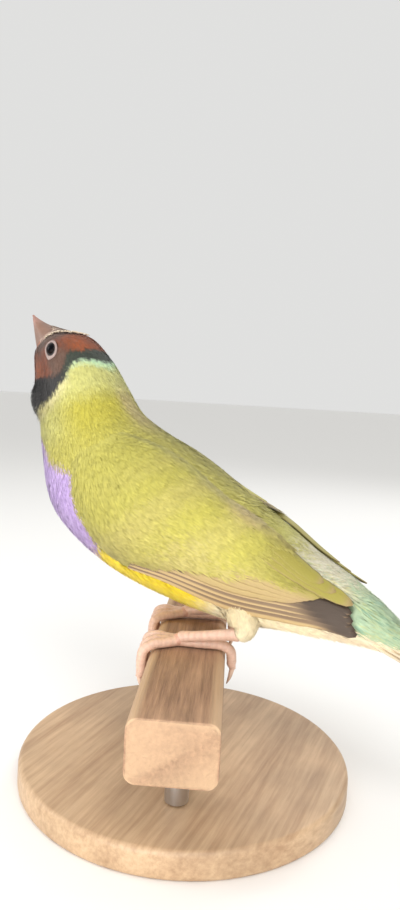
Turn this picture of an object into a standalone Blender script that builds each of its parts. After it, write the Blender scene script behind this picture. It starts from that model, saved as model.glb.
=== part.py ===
"""A gouldian finch, life size, sitting on a cut length of perch on a plain display stand.

Sizes are in millimetres and are scaled to metres when a mesh is made. The bird faces -Y, its left side is
+X, and its own zero is the middle of the perch's top, between the feet. The row's origin is the middle of
the underside of the base.
"""

import math
import random

import bmesh
import bpy
from mathutils import Vector

MM = 0.001
GAP = 0.3
SEED = 7

# Stand and perch
BASE_RADIUS = 38.0
BASE_HEIGHT = 6.0
BASE_ROUNDING = 1.2
ROD_RADIUS = 2.5
ROD_SPACING = 44.0
PERCH_TOP = 34.0
PERCH_WIDTH = 16.5
PERCH_THICKNESS = 12.0
PERCH_LENGTH = 90.0
PERCH_ROUNDING = 2.2
PERCH_TURN = math.radians(20)

# Body, as stations from the tail's root to the root of the bill: centre x, y, z, lean of the body's line
# above level and its turn to the bird's right in degrees, half width, reach above the centre, reach below it
TAIL_ROOT = (0.0, 34.0, 10.8, 19.0, 0.0, 8.0, 8.4, 7.2)
RUMP = (0.0, 25.5, 13.2, 19.0, 0.0, 10.5, 10.4, 9.6)
LOINS = (0.0, 15.0, 16.8, 21.0, 0.0, 13.5, 13.2, 12.2)
BELLY = (0.0, 3.0, 22.4, 25.0, 0.0, 15.8, 14.0, 15.8)
SHOULDERS = (0.0, -10.0, 29.0, 34.0, 0.0, 16.4, 15.0, 18.6)
BREAST = (0.0, -21.5, 36.0, 50.0, 0.0, 15.4, 15.2, 18.0)
NECK_ROOT = (0.0, -28.0, 44.5, 64.0, 2.0, 12.4, 12.5, 13.8)
NECK_MIDDLE = (0.1, -30.8, 51.3, 70.0, 5.0, 10.6, 11.0, 12.2)
HEAD_ROOT = (0.2, -33.0, 56.8, 62.0, 8.0, 9.4, 9.4, 12.6)
HEAD_BACK = (0.3, -34.9, 60.2, 54.0, 10.0, 8.7, 8.3, 10.8)
HEAD_EYES = (-0.1, -37.1, 62.9, 47.0, 10.0, 8.1, 7.2, 8.6)
FOREHEAD = (-0.5, -39.4, 64.7, 47.0, 10.0, 6.8, 5.9, 6.6)
BILL_ROOT = (-0.9, -41.9, 65.9, 47.0, 10.0, 4.8, 4.7, 4.4)
SPINE = (
    TAIL_ROOT, RUMP, LOINS, BELLY, SHOULDERS, BREAST, NECK_ROOT, NECK_MIDDLE,
    HEAD_ROOT, HEAD_BACK, HEAD_EYES, FOREHEAD, BILL_ROOT,
)
TORSO_SPAN = (0.0, 6.0)
NECK_SPAN = (6.0, 8.0)
HEAD_SPAN = (8.0, 12.0)
SQUARENESS = 2.15
RING_SIDES = 28

# Head and bill. The eye is a place on the spine and an angle up from the side; the rest is measured along,
# left of and above the middle of the bill's root
HEAD_PITCH = math.radians(47)
HEAD_TURN = math.radians(10)
EYE_STATION = 9.9
EYE_ANGLE = math.radians(17)
EYE_RADIUS = 1.85
EYE_SINK = 1.35
LID_RADIUS = 2.2
LID_THICKNESS = 0.38
LID_OUT = 1.15
LID_CORNERS = 20
LID_SIDES = 8
BILL_LENGTH = 10.6
BILL_HALF_WIDTH = 4.4
BILL_TIP_RADIUS = 0.28
BILL_CURVE = 1.08
CULMEN_HEIGHT = 4.4
CULMEN_CURVE = 1.6
JAW_CURVE = 1.15
JAW_LENGTH = 0.94
JAW_WIDTH = 0.93
JAW_DEPTH = 4.3
MOUTH_ANGLE = math.radians(4)
MOUTH_DROOP = 0.3
NOSTRIL_RADIUS = 0.45
NOSTRIL_ALONG = 1.2
NOSTRIL_ANGLE = math.radians(58)

# Wing, wrapped round the body from the shoulder to the tip: its own stations behind the body's, and the
# angles in degrees, up from the body's side, of its upper and lower edges at each. The right wing lies
# further over the back, and its upper edge stands a little proud of the rump
WING_END = (0.0, 44.0, 7.6, 19.0, 0.0, 8.2, 7.2, 5.6)
WING_LINE = (NECK_ROOT, BREAST, SHOULDERS, BELLY, LOINS, RUMP, TAIL_ROOT, WING_END)
LEFT_EDGES = ((40, 10), (64, -16), (74, -40), (68, -29), (62, -26), (52, -18), (46, -13), (32, 0))
RIGHT_EDGES = ((40, 10), (64, -16), (75, -40), (77, -29), (75, -24), (70, -14), (64, -6), (52, 6))
RIGHT_RAISE = 0.9
RAISED_SPAN = (2.8, 4.2)
WING_SPAN = (0.45, 6.4)
WING_SINK = 2.0
ARM_THICKNESS = 2.4
ARM_LENGTH = 0.5
ARM_TAPER = (0.6, 0.5)
ARM_RIM = 0.75

# Feathers: thickness, the rise from one side of a vane to the other, and their outlines as places along
# the vane with parts of its half width
VANE_THICKNESS = 0.5
VANE_TIP = 0.6
VANE_LIFT = 0.4
VANE_TILT = 0.6
VANE_OVERLAP = 0.7
VANE_SHAPE = ((0.0, 0.85), (0.3, 1.0), (0.55, 1.0), (0.78, 1.0), (0.92, 0.8), (1.0, 0.25))
COVERT_SHAPE = ((0.0, 0.8), (0.4, 1.0), (0.8, 0.9), (1.0, 0.3))
TIP_SCATTER = 0.006
# Tiers of the wing: count, first and last root, first and last tip (along the wing, down it), the height
# above the wing's inner face where they lie, the height of their roots, and their least half width
PRIMARIES = (6, (0.40, 0.76), (0.38, 0.965), (0.955, 0.46), (1.0, 0.84), 0.95, 0.95, 1.1)
SECONDARIES = (5, (0.40, 0.40), (0.40, 0.74), (0.90, 0.30), (0.80, 0.60), 1.65, 1.15, 1.5)
TERTIALS = (3, (0.38, 0.10), (0.38, 0.34), (0.86, 0.15), (0.972, 0.22), 2.35, 1.4, 1.9)
GREATER_COVERTS = (6, (0.30, 0.08), (0.30, 0.92), (0.55, 0.12), (0.57, 0.90), 2.75, 1.6, 1.6)
MEDIAN_COVERTS = (5, (0.12, 0.12), (0.12, 0.86), (0.34, 0.11), (0.36, 0.88), 2.75, 1.5, 1.6)
POCKET_MARGIN = 0.025
POCKET_REACH = 8.0

# Tail: its core as stations of the body's kind, then its vanes, measured back from the tail's root.
# Quills: pairs from the middle out, as length, sideways place at root and tip, half width, and depth
TAIL_LEAN = math.radians(19)
TAIL_CORE = (
    TAIL_ROOT,
    (0.0, 40.0, 9.0, 19.0, 0.0, 6.6, 6.0, 5.2),
    (0.0, 47.0, 6.6, 19.0, 0.0, 4.6, 3.0, 2.8),
    (0.0, 53.0, 4.6, 19.0, 0.0, 2.2, 1.3, 1.3),
)
QUILL_ROOT = 6.0
QUILL_HEIGHT = 1.4
QUILL_PITCH = 0.85
QUILL_DROOP = 0.18
QUILLS = (
    (51.0, 0.55, 0.75, 1.9),
    (35.0, 1.4, 2.3, 2.2),
    (33.5, 2.2, 3.6, 2.2),
    (32.0, 3.0, 4.8, 2.2),
    (30.5, 3.8, 5.9, 2.1),
)
PIN_SHAPE = ((0.0, 0.8), (0.3, 1.0), (0.5, 0.85), (0.68, 0.5), (0.84, 0.3), (1.0, 0.12))
# Coverts over and under the tail: count, reach, spread, height off the tail's line, half width
UPPER_TAIL_COVERTS = (5, 19.0, 3.4, 7.4, 2.3)
UNDER_TAIL_COVERTS = (5, 21.0, 3.2, -6.2, 1.6)
COVERT_ROOT = 1.2
COVERT_LAYERS = (-0.3, 0.55)
COVERT_SHORTER = 0.2
COVERT_SCATTER = 0.6
COVERT_GATHER = 0.25
COVERT_CROWN = 0.42
COVERT_FALL = (0.86, 0.8)

# Legs, in the perch's own directions: along it to the bird's left, across it to the back, and up
FOOT_ALONG = 10.0
FOOT_ACROSS = -2.2
PAD_RADIUS = 1.55
PAD_RISE = 0.4
ANKLE_BACK = 0.6
ANKLE_RISE = 0.9
TOE_RADIUS = 1.0
TOE_RADII = (1.1, 1.0, 1.0, 1.0, 0.95, 0.9, 0.75, 0.5, 0.2)
# A toe's way over the perch: the rise of its root, then outward and upward steps over the perch's edge,
# down its side, and from its last pad to the claw's tip, all off the toe's own clearance
TOE_ROOT_RISE = 0.2
TOE_CREST = ((-1.2, 0.0), (0.9, -1.0))
TOE_SIDE = ((0.1, -1.8),)
TOE_END = ((0.1, 0.0), (0.5, -1.2), (-0.1, -3.0), (-0.7, -4.6))
# Each toe: how far it spreads along the perch, forward or back over it, and how far its pad hangs down
TOES = ((-3.4, -1.0, 4.0), (0.2, -1.0, 6.0), (3.4, -1.0, 4.4), (0.6, 1.0, 2.6))
HEEL = (10.5, 15.0, 5.4)
TARSUS_PARTS = (0.0, 0.2, 0.5, 0.85, 1.0)
TARSUS_RADII = (1.25, 1.05, 1.05, 1.15, 1.4)
# The thigh, from the heel: steps outward, back and up, with the radius at each
THIGH_STEPS = ((0.0, 0.0, 0.0), (0.0, 1.1, 0.9), (-0.5, 0.8, 2.7), (-1.4, -0.8, 5.4), (-2.2, -4.2, 8.5))
THIGH_RADII = (1.6, 2.4, 3.4, 3.9, 3.8)
CUT_SAFETY = 1.1

COLOURS = {
    "skin_olive": (0.42, 0.40, 0.05, 1.0),
    "mask": (0.35, 0.06, 0.03, 1.0),
    "mint": (0.35, 0.62, 0.45, 1.0),
    "bill": (0.75, 0.55, 0.48, 1.0),
    "eye": (0.01, 0.008, 0.008, 1.0),
    "leg": (0.62, 0.38, 0.30, 1.0),
    "cream": (0.75, 0.70, 0.52, 1.0),
    "wood": (0.30, 0.19, 0.12, 1.0),
    "oak": (0.55, 0.38, 0.22, 1.0),
    "steel": (0.45, 0.45, 0.46, 1.0),
}


def clear_scene():
    for each in list(bpy.data.objects):
        bpy.data.objects.remove(each, do_unlink=True)


def material(name, roughness):
    made = bpy.data.materials.get(name)
    if made is None:
        made = bpy.data.materials.new(name)
        made.use_nodes = True
        shader = made.node_tree.nodes["Principled BSDF"]
        shader.inputs["Base Color"].default_value = COLOURS[name]
        shader.inputs["Roughness"].default_value = roughness
    return made


def add_object(name, shape, finish, roughness=0.7, parent=None):
    """An object from a bmesh in millimetres, which is freed."""
    bmesh.ops.recalc_face_normals(shape, faces=shape.faces)
    bmesh.ops.scale(shape, vec=(MM, MM, MM), verts=shape.verts)
    mesh = bpy.data.meshes.new(name)
    shape.to_mesh(mesh)
    shape.free()
    mesh.shade_smooth()
    mesh.materials.append(material(finish, roughness))
    made = bpy.data.objects.new(name, mesh)
    bpy.context.scene.collection.objects.link(made)
    made.parent = parent
    return made


def read_along(values, place):
    """A Catmull-Rom reading of a row of equally long tuples, at a place counted in their steps."""
    last = len(values) - 1
    step = min(int(place), last - 1)
    part = place - step
    rows = [values[min(max(step + shift, 0), last)] for shift in (-1, 0, 1, 2)]
    return tuple(
        0.5 * (2 * b + (c - a) * part + (2 * a - 5 * b + 4 * c - d) * part**2
               + (3 * b - a - 3 * c + d) * part**3)
        for a, b, c, d in zip(*rows)
    )


def directions(lean, turn=0.0):
    """The body's line forward, its left side and its upward direction, for a lean and a turn in radians."""
    forward = Vector((-math.sin(turn) * math.cos(lean), -math.cos(turn) * math.cos(lean), math.sin(lean)))
    left = Vector((math.cos(turn), -math.sin(turn), 0.0))
    return forward, left, left.cross(forward) * -1


def ring_point(station, angle, grow=0.0, shift=0.0):
    """The point of a rounded cross section at an angle up from its left side, in radians."""
    x, y, z, lean, turn, half_width, above, below = station
    forward, left, upward = directions(math.radians(lean), math.radians(turn))
    across = math.copysign(abs(math.cos(angle)) ** (2 / SQUARENESS), math.cos(angle))
    rise = math.copysign(abs(math.sin(angle)) ** (2 / SQUARENESS), math.sin(angle))
    reach = (above if rise > 0 else below) + grow
    return Vector((x, y, z)) + forward * shift + left * (half_width + grow) * across + upward * reach * rise


def ring_points(station, shift=0.0, sides=RING_SIDES):
    """One rounded cross section of the body, moved forward by shift."""
    return [ring_point(station, 2 * math.pi * number / sides, 0.0, shift) for number in range(sides)]


def loft(rings):
    """A closed skin over rings of equally many points, with a fan at each end."""
    shape = bmesh.new()
    rows = [[shape.verts.new(point) for point in ring] for ring in rings]
    count = len(rows[0])
    for near, far in zip(rows, rows[1:]):
        for number in range(count):
            after = (number + 1) % count
            shape.faces.new((near[number], near[after], far[after], far[number]))
    for row in (rows[0], rows[-1]):
        middle = shape.verts.new(sum((vert.co for vert in row), Vector()) / count)
        for number in range(count):
            shape.faces.new((row[number], row[(number + 1) % count], middle))
    return shape


def tube(points, radii, sides=8):
    """A closed round rod through points, with a radius at each."""
    rings = []
    side = Vector((0, 0, 1)).cross(points[1] - points[0])
    if side.length < 1e-6:
        side = Vector((1, 0, 0))
    for number, (point, radius) in enumerate(zip(points, radii)):
        before = points[max(number - 1, 0)]
        after = points[min(number + 1, len(points) - 1)]
        line = (after - before).normalized()
        side = (side - line * side.dot(line)).normalized()
        other = line.cross(side)
        rings.append([
            point + side * radius * math.cos(turn) + other * radius * math.sin(turn)
            for turn in (2 * math.pi * corner / sides for corner in range(sides))
        ])
    return loft(rings)


def apply_modifiers(thing):
    bpy.context.view_layer.update()
    graph = bpy.context.evaluated_depsgraph_get()
    mesh = bpy.data.meshes.new_from_object(thing.evaluated_get(graph))
    old = thing.data
    thing.modifiers.clear()
    thing.data = mesh
    bpy.data.meshes.remove(old)


def keep_largest(thing):
    """Leaves the largest closed surface of a mesh."""
    shape = bmesh.new()
    shape.from_mesh(thing.data)
    left = set(shape.faces)
    islands = []
    while left:
        stack = [left.pop()]
        island = list(stack)
        while stack:
            for edge in stack.pop().edges:
                for face in edge.link_faces:
                    if face in left:
                        left.remove(face)
                        stack.append(face)
                        island.append(face)
        islands.append(island)
    islands.sort(key=lambda island: sum(face.calc_area() for face in island))
    for island in islands[:-1]:
        bmesh.ops.delete(shape, geom=island, context="FACES")
    shape.to_mesh(thing.data)
    shape.free()


def cut(thing, cutter):
    """Takes a cutter's shape away from a thing, and removes the cutter."""
    step = thing.modifiers.new("cut", "BOOLEAN")
    step.operation = "DIFFERENCE"
    step.solver = "EXACT"
    step.object = cutter
    apply_modifiers(thing)
    bpy.data.objects.remove(cutter, do_unlink=True)
    keep_largest(thing)


def fuse(thing, pieces):
    """Joins closed pieces to a thing, and removes them."""
    group = bpy.data.collections.new(thing.name + "_pieces")
    bpy.context.scene.collection.children.link(group)
    for piece in pieces:
        bpy.context.scene.collection.objects.unlink(piece)
        group.objects.link(piece)
    step = thing.modifiers.new("join", "BOOLEAN")
    step.operation = "UNION"
    step.solver = "EXACT"
    step.operand_type = "COLLECTION"
    step.collection = group
    apply_modifiers(thing)
    for piece in pieces:
        bpy.data.objects.remove(piece, do_unlink=True)
    bpy.data.collections.remove(group)
    keep_largest(thing)


def body_part(name, span, finish, steps, bird):
    """A length of the body between two stations, kept half a gap inside both its end planes."""
    first, last = span
    places = [first + (last - first) * number / steps for number in range(steps + 1)]
    rings = []
    for place in places:
        shift = GAP / 2 if place == first else -GAP / 2 if place == last else 0.0
        rings.append(ring_points(read_along(SPINE, place), shift))
    return add_object(name, loft(rings), finish, parent=bird)


def wing_point(side, along, down, height):
    """A point of the wing: along it from shoulder to tip and down from its upper to its lower edge, both
    from 0 to 1, and height off its inner face."""
    place = WING_SPAN[0] + (WING_SPAN[1] - WING_SPAN[0]) * along
    upper, lower = read_along(LEFT_EDGES if side > 0 else RIGHT_EDGES, place)
    angle = math.radians(upper + (lower - upper) * down)
    if side < 0:
        raised = (place - RAISED_SPAN[0]) / (RAISED_SPAN[1] - RAISED_SPAN[0])
        height += RIGHT_RAISE * min(max(raised, 0.0), 1.0) * max(1.0 - down**2, 0.0)
    point = ring_point(read_along(WING_LINE, place), angle, height - WING_SINK)
    return Vector((point.x * side, point.y, point.z))


def slab(grid_point, steps, rows):
    """A closed slab between two faces of triangles alike, from a function of step, row and face."""
    shape = bmesh.new()
    faces = [
        [[shape.verts.new(grid_point(step / steps, row / rows, face)) for row in range(rows + 1)]
         for step in range(steps + 1)]
        for face in (0, 1)
    ]
    inner, outer = faces
    for step in range(steps):
        for row in range(rows):
            for grid in faces:
                corners = (grid[step][row], grid[step + 1][row], grid[step + 1][row + 1], grid[step][row + 1])
                shape.faces.new((corners[0], corners[1], corners[2]))
                shape.faces.new((corners[0], corners[2], corners[3]))
    rim = (
        [(step, 0) for step in range(steps)]
        + [(steps, row) for row in range(rows)]
        + [(step, rows) for step in range(steps, 0, -1)]
        + [(0, row) for row in range(rows, 0, -1)]
    )
    for here, after in zip(rim, rim[1:] + rim[:1]):
        shape.faces.new((inner[here[0]][here[1]], inner[after[0]][after[1]],
                         outer[after[0]][after[1]], outer[here[0]][here[1]]))
    return shape


def read_shape(shape, part):
    """A straight reading between the points of a vane's outline."""
    for (low, first), (high, last) in zip(shape, shape[1:]):
        if part <= high:
            return first + (last - first) * (part - low) / (high - low)
    return shape[-1][1]


def vane(name, outline, place, finish, bird):
    """One feather: a thin plate whose outline is read at its own steps. place gives the point for a part of
    its length, a part across it from -1 to 1 of its half width, and a height."""
    steps = [step for step, _ in outline]
    last = len(steps) - 1

    def grid_point(step, row, face):
        number = round(step * last)
        thin = VANE_THICKNESS * (1.0 if number < last else VANE_TIP)
        across = (row * 2 - 1) * read_shape(outline, steps[number])
        return place(steps[number], across, face * thin)

    return add_object(name, slab(grid_point, last, 2), finish, parent=bird)


def wing_chord(along):
    """The width of the wing's sheet from its upper to its lower edge."""
    points = [wing_point(1, along, part / 6, 0.0) for part in range(7)]
    return sum((after - before).length for before, after in zip(points, points[1:]))


def wing_tier(side, tier, outline, finish, draw, bird):
    """A tier of feathers, each a little over the next one down, rooted inside the arm."""
    count, first_root, last_root, first_tip, last_tip, height, root_height, least = tier
    feathers = []
    for number in range(count):
        part = number / (count - 1)
        root = [a + (b - a) * part for a, b in zip(first_root, last_root)]
        tip = [a + (b - a) * part for a, b in zip(first_tip, last_tip)]
        tip[0] += draw.uniform(-TIP_SCATTER, TIP_SCATTER)
        root_space = (last_root[1] - first_root[1]) / (count - 1) * wing_chord(root[0])
        tip_space = (last_tip[1] - first_tip[1]) / (count - 1) * wing_chord(tip[0])

        def place(length, across, rise):
            along = root[0] + (tip[0] - root[0]) * length
            space = root_space + (tip_space - root_space) * length
            half = max(space * VANE_OVERLAP, least)
            down = root[1] + (tip[1] - root[1]) * length + across * half / wing_chord(along)
            lift = root_height + (height - root_height) * min(length / VANE_LIFT, 1.0)
            return wing_point(side, along, min(max(down, 0.0), 1.0), lift + VANE_TILT * across + rise)

        feathers.append(vane("feather", outline, place, finish, bird))
    return feathers


def wing(name, side, bird):
    """The arm under its small coverts, with tiers of coverts and flight feathers rooted in it."""
    def arm(step, row, face):
        start, end = ARM_TAPER
        thin = 1.0 - end * max(0.0, step - start) / (1.0 - start)
        rim = ARM_RIM if row in (0.0, 1.0) or step == 0.0 else 1.0
        return wing_point(side, step * ARM_LENGTH, row, face * ARM_THICKNESS * thin * rim)

    made = add_object(name, slab(arm, 8, 6), "skin_olive", parent=bird)
    draw = random.Random(SEED)
    feathers = []
    for tier, outline in (
        (PRIMARIES, VANE_SHAPE), (SECONDARIES, VANE_SHAPE), (TERTIALS, VANE_SHAPE),
        (GREATER_COVERTS, COVERT_SHAPE), (MEDIAN_COVERTS, COVERT_SHAPE),
    ):
        feathers += wing_tier(side, tier, outline, "skin_olive", draw, bird)
    fuse(made, feathers)
    return made


def wing_pocket(side, bird):
    """The room that the wing takes from the body beneath it, a little wider than the wing."""
    wide = 1 + 2 * POCKET_MARGIN

    def room(step, row, face):
        height = POCKET_REACH if face else -GAP
        return wing_point(side, step * wide - POCKET_MARGIN, row * wide - POCKET_MARGIN, height)

    cutter = add_object("pocket", slab(room, 14, 6), "skin_olive", parent=bird)
    cutter.hide_render = True
    cutter.display_type = "WIRE"
    return cutter


def tail_point(back, sideways, rise):
    """A point behind the tail's root, off the tail's middle and above its line."""
    line = Vector((0.0, math.cos(TAIL_LEAN), -math.sin(TAIL_LEAN)))
    upward = Vector((0.0, math.sin(TAIL_LEAN), math.cos(TAIL_LEAN)))
    return Vector(TAIL_ROOT[:3]) + line * back + Vector((sideways, 0.0, 0.0)) + upward * rise


def quill(number, side, draw, bird):
    """One tail feather, its outer side a little lower than its inner one."""
    length, root_side, tip_side, half = QUILLS[number]
    reach = length + draw.uniform(-0.5, 0.5)

    def place(part, across, rise):
        sideways = root_side + (tip_side - root_side) * part + across * half
        return tail_point(QUILL_ROOT + (reach - QUILL_ROOT) * part, side * sideways,
                          QUILL_HEIGHT - QUILL_PITCH * number - QUILL_DROOP * (across + 1) + rise)

    return vane("quill", PIN_SHAPE if number == 0 else VANE_SHAPE, place, "mint", bird)


def tail_coverts(tier, draw, bird):
    """Coverts over or under the tail's root, following its core back."""
    count, reach, spread, height, half = tier
    feathers = []
    for number in range(count):
        row = number / (count - 1) * 2 - 1
        long = reach * (1 - COVERT_SHORTER * abs(row)) + draw.uniform(-COVERT_SCATTER, COVERT_SCATTER)
        layer = math.copysign(1, height) * COVERT_LAYERS[number % 2]
        tilt = VANE_TILT if number < count / 2 else -VANE_TILT

        def place(part, across, rise):
            sideways = spread * row * (1 - COVERT_GATHER * part) + across * half
            line = height * (1 - COVERT_CROWN * row**2) * (1 - COVERT_FALL[0] * part) ** COVERT_FALL[1]
            return tail_point(COVERT_ROOT + long * part, sideways, line + layer + tilt * across + rise)

        feathers.append(vane("covert", COVERT_SHAPE, place, "mint", bird))
    return feathers


def tail(bird):
    """The tail's feathered core, its quills and the coverts above and below."""
    steps = 8
    last = len(TAIL_CORE) - 1
    rings = []
    for number in range(steps + 1):
        shift = -GAP / 2 if number == 0 else 0.0
        rings.append(ring_points(read_along(TAIL_CORE, last * number / steps), shift, 20))
    made = add_object("tail", loft(rings), "mint", parent=bird)
    draw = random.Random(SEED + 1)
    feathers = [quill(number, side, draw, bird) for number in range(len(QUILLS)) for side in (1, -1)]
    feathers += tail_coverts(UPPER_TAIL_COVERTS, draw, bird)
    feathers += tail_coverts(UNDER_TAIL_COVERTS, draw, bird)
    fuse(made, feathers)
    return made


def head_frame():
    """The middle of the bill's root, and the head's forward, left and upward directions."""
    forward, left, upward = directions(HEAD_PITCH, HEAD_TURN)
    return Vector(BILL_ROOT[:3]), forward, left, upward


def from_head(along, side, up):
    centre, forward, left, upward = head_frame()
    return centre + forward * along + left * side + upward * up


def ball(centre, radius, finish, name, bird, segments=16, rings=10):
    shape = bmesh.new()
    bmesh.ops.create_uvsphere(shape, u_segments=segments, v_segments=rings, radius=radius)
    bmesh.ops.translate(shape, verts=shape.verts, vec=centre)
    return add_object(name, shape, finish, parent=bird, roughness=0.1)


def eye_place(side):
    """The middle of an eyeball and the direction that it looks in, square to the cheek."""
    angle = EYE_ANGLE if side > 0 else math.pi - EYE_ANGLE
    middle = ring_point(read_along(SPINE, EYE_STATION), angle)
    along = ring_point(read_along(SPINE, EYE_STATION + 0.1), angle) - middle
    around = ring_point(read_along(SPINE, EYE_STATION), angle + 0.1) - middle
    outward = along.cross(around).normalized()
    if outward.x * side < 0:
        outward.negate()
    return middle - outward * EYE_SINK, outward


def eyelid(side, bird):
    """The bare ring of the lids, proud of the cheek."""
    eye, outward = eye_place(side)
    middle = eye + outward * LID_OUT
    first = outward.cross(Vector((0, 0, 1))).normalized()
    second = outward.cross(first)
    shape = bmesh.new()
    rows = []
    for corner in range(LID_CORNERS):
        turn = 2 * math.pi * corner / LID_CORNERS
        away = first * math.cos(turn) + second * math.sin(turn)
        rows.append([
            shape.verts.new(middle + away * (LID_RADIUS + LID_THICKNESS * math.cos(bend))
                            + outward * LID_THICKNESS * math.sin(bend))
            for bend in (2 * math.pi * number / LID_SIDES for number in range(LID_SIDES))
        ])
    for near, far in zip(rows, rows[1:] + rows[:1]):
        for number in range(LID_SIDES):
            after = (number + 1) % LID_SIDES
            shape.faces.new((near[number], near[after], far[after], far[number]))
    return add_object("lid", shape, "mask", parent=bird)


def head_part(bird):
    made = body_part("head", HEAD_SPAN, "mask", 12, bird)
    fuse(made, [eyelid(side, bird) for side in (1, -1)])
    for side in (1, -1):
        socket = ball(eye_place(side)[0], EYE_RADIUS + GAP, "eye", "socket", bird)
        socket.hide_render = True
        cut(made, socket)
    return made


def bill_point(along, turn, upper):
    """A point of the bill's surface: along it from its root, and an angle up (or down) from its left side."""
    part = along / (BILL_LENGTH * (1.0 if upper else JAW_LENGTH))
    mouth = -math.tan(MOUTH_ANGLE) * along - MOUTH_DROOP * (along / BILL_LENGTH) ** 3
    wide = BILL_HALF_WIDTH * (1 - part**BILL_CURVE) + BILL_TIP_RADIUS
    if upper:
        high = CULMEN_HEIGHT * (1 - part) ** CULMEN_CURVE + BILL_TIP_RADIUS
        return from_head(along, wide * math.cos(turn), mouth + GAP / 2 + high * math.sin(turn))
    deep = JAW_DEPTH * (1 - part**JAW_CURVE) + BILL_TIP_RADIUS
    return from_head(along, wide * JAW_WIDTH * math.cos(turn), mouth - GAP / 2 - deep * math.sin(turn))


def bill_half(name, bird, upper):
    """One half of the bill: a cone with a curved ridge and a flat side along the line of the mouth."""
    steps = 8
    corners = 9
    reach = BILL_LENGTH * (1.0 if upper else JAW_LENGTH)
    rings = []
    for number in range(steps + 1):
        along = GAP + (reach - GAP) * number / steps
        rings.append([bill_point(along, math.pi * corner / (corners - 1), upper) for corner in range(corners)])
    made = add_object(name, loft(rings), "bill", roughness=0.35, parent=bird)
    if upper:
        for turn in (NOSTRIL_ANGLE, math.pi - NOSTRIL_ANGLE):
            cut(made, ball(bill_point(NOSTRIL_ALONG, turn, True), NOSTRIL_RADIUS, "bill", "nostril", bird, 8, 6))
    return made


def perch_directions():
    """Along the perch to the bird's left, across it to the back."""
    turn = PERCH_TURN
    return Vector((math.cos(turn), math.sin(turn), 0)), Vector((-math.sin(turn), math.cos(turn), 0))


def on_perch(along, across, up):
    lengthways, crossways = perch_directions()
    return lengthways * along + crossways * across + Vector((0, 0, up))


def toe(name, along, spread, reach, drop, bird):
    """A toe that runs over the perch's top, over its edge and down its side, with its claw."""
    clear = TOE_RADIUS + GAP
    edge = PERCH_WIDTH / 2 * reach
    lean = spread / (edge - FOOT_ACROSS)
    path = [(FOOT_ACROSS, clear + TOE_ROOT_RISE), ((FOOT_ACROSS + edge) / 2, clear)]
    path += [(edge + out * reach, clear + up) for out, up in TOE_CREST]
    path += [(edge + (clear + out) * reach, up) for out, up in TOE_SIDE]
    path += [(edge + (clear + out) * reach, up - drop) for out, up in TOE_END]
    points = [on_perch(along + lean * (place - FOOT_ACROSS), place, up) for place, up in path]
    return add_object(name, tube(points, TOE_RADII), "leg", parent=bird)


def foot(name, side, bird):
    along = FOOT_ALONG * side
    pad = on_perch(along, FOOT_ACROSS, TOE_RADIUS + GAP + PAD_RISE)
    made = ball(pad, PAD_RADIUS, "leg", name, bird, segments=12, rings=8)
    fuse(made, [toe("toe", along, spread * side, reach, drop, bird) for spread, reach, drop in TOES])
    return made


def leg_line(side):
    """The ankle above the foot and the heel."""
    ankle = on_perch(FOOT_ALONG * side, FOOT_ACROSS + ANKLE_BACK, TOE_RADIUS + GAP + ANKLE_RISE)
    heel = Vector((HEEL[0] * side, HEEL[1], HEEL[2]))
    return ankle, heel


def leg(name, side, bird, neighbours):
    ankle, heel = leg_line(side)
    points = [ankle + (heel - ankle) * part for part in TARSUS_PARTS]
    made = add_object(name, tube(points, TARSUS_RADII, sides=10), "leg", parent=bird)
    for neighbour in neighbours:
        cut(made, swollen(neighbour, bird))
    return made


def thigh(name, side, bird, torso):
    """The feathered shank, from the heel forward and up into the belly."""
    ankle, heel = leg_line(side)
    start = heel + (heel - ankle).normalized() * GAP
    points = [start + Vector((out * side, back, up)) for out, back, up in THIGH_STEPS]
    made = add_object(name, tube(points, THIGH_RADII, sides=14), "cream", parent=bird)
    cut(made, swollen(torso, bird))
    cut(made, wing_pocket(side, bird))
    return made


def swollen(thing, bird):
    """A cutter of a thing's own shape, one gap larger all round."""
    shape = bmesh.new()
    shape.from_mesh(thing.data)
    shape.normal_update()
    for vert, normal in [(vert, vert.normal.copy()) for vert in shape.verts]:
        vert.co += normal * GAP * MM * CUT_SAFETY
    bmesh.ops.scale(shape, vec=(1 / MM, 1 / MM, 1 / MM), verts=shape.verts)
    cutter = add_object("swollen", shape, "cream", parent=bird)
    cutter.hide_render = True
    cutter.display_type = "WIRE"
    return cutter


def perch(bird):
    shape = bmesh.new()
    bmesh.ops.create_cube(shape, size=1.0)
    bmesh.ops.scale(shape, vec=(PERCH_LENGTH, PERCH_WIDTH, PERCH_THICKNESS), verts=shape.verts)
    lengthways = [edge for edge in shape.edges
                  if abs(edge.verts[0].co.x - edge.verts[1].co.x) > PERCH_LENGTH / 2]
    bmesh.ops.bevel(shape, geom=lengthways, offset=PERCH_ROUNDING, segments=4, profile=0.5,
                    affect="EDGES", material=-1)
    bmesh.ops.translate(shape, verts=shape.verts, vec=(0, 0, -PERCH_THICKNESS / 2))
    made = add_object("perch", shape, "wood", roughness=0.8, parent=bird)
    made.rotation_euler.z = PERCH_TURN
    return made


def turned(name, radius, low, high, rounding, place, finish):
    """An upright disc or rod with rounded rims."""
    shape = bmesh.new()
    bmesh.ops.create_cone(shape, cap_ends=True, segments=40 if radius > 10 else 20,
                          radius1=radius, radius2=radius, depth=high - low)
    if rounding:
        rims = [edge for edge in shape.edges if abs(edge.verts[0].co.z - edge.verts[1].co.z) < 1e-6]
        bmesh.ops.bevel(shape, geom=rims, offset=rounding, segments=3, profile=0.5,
                        affect="EDGES", material=-1)
    bmesh.ops.translate(shape, verts=shape.verts, vec=(0, 0, (low + high) / 2))
    made = add_object(name, shape, finish, roughness=0.4)
    made.location = (place.x * MM, place.y * MM, 0)
    return made


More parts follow.
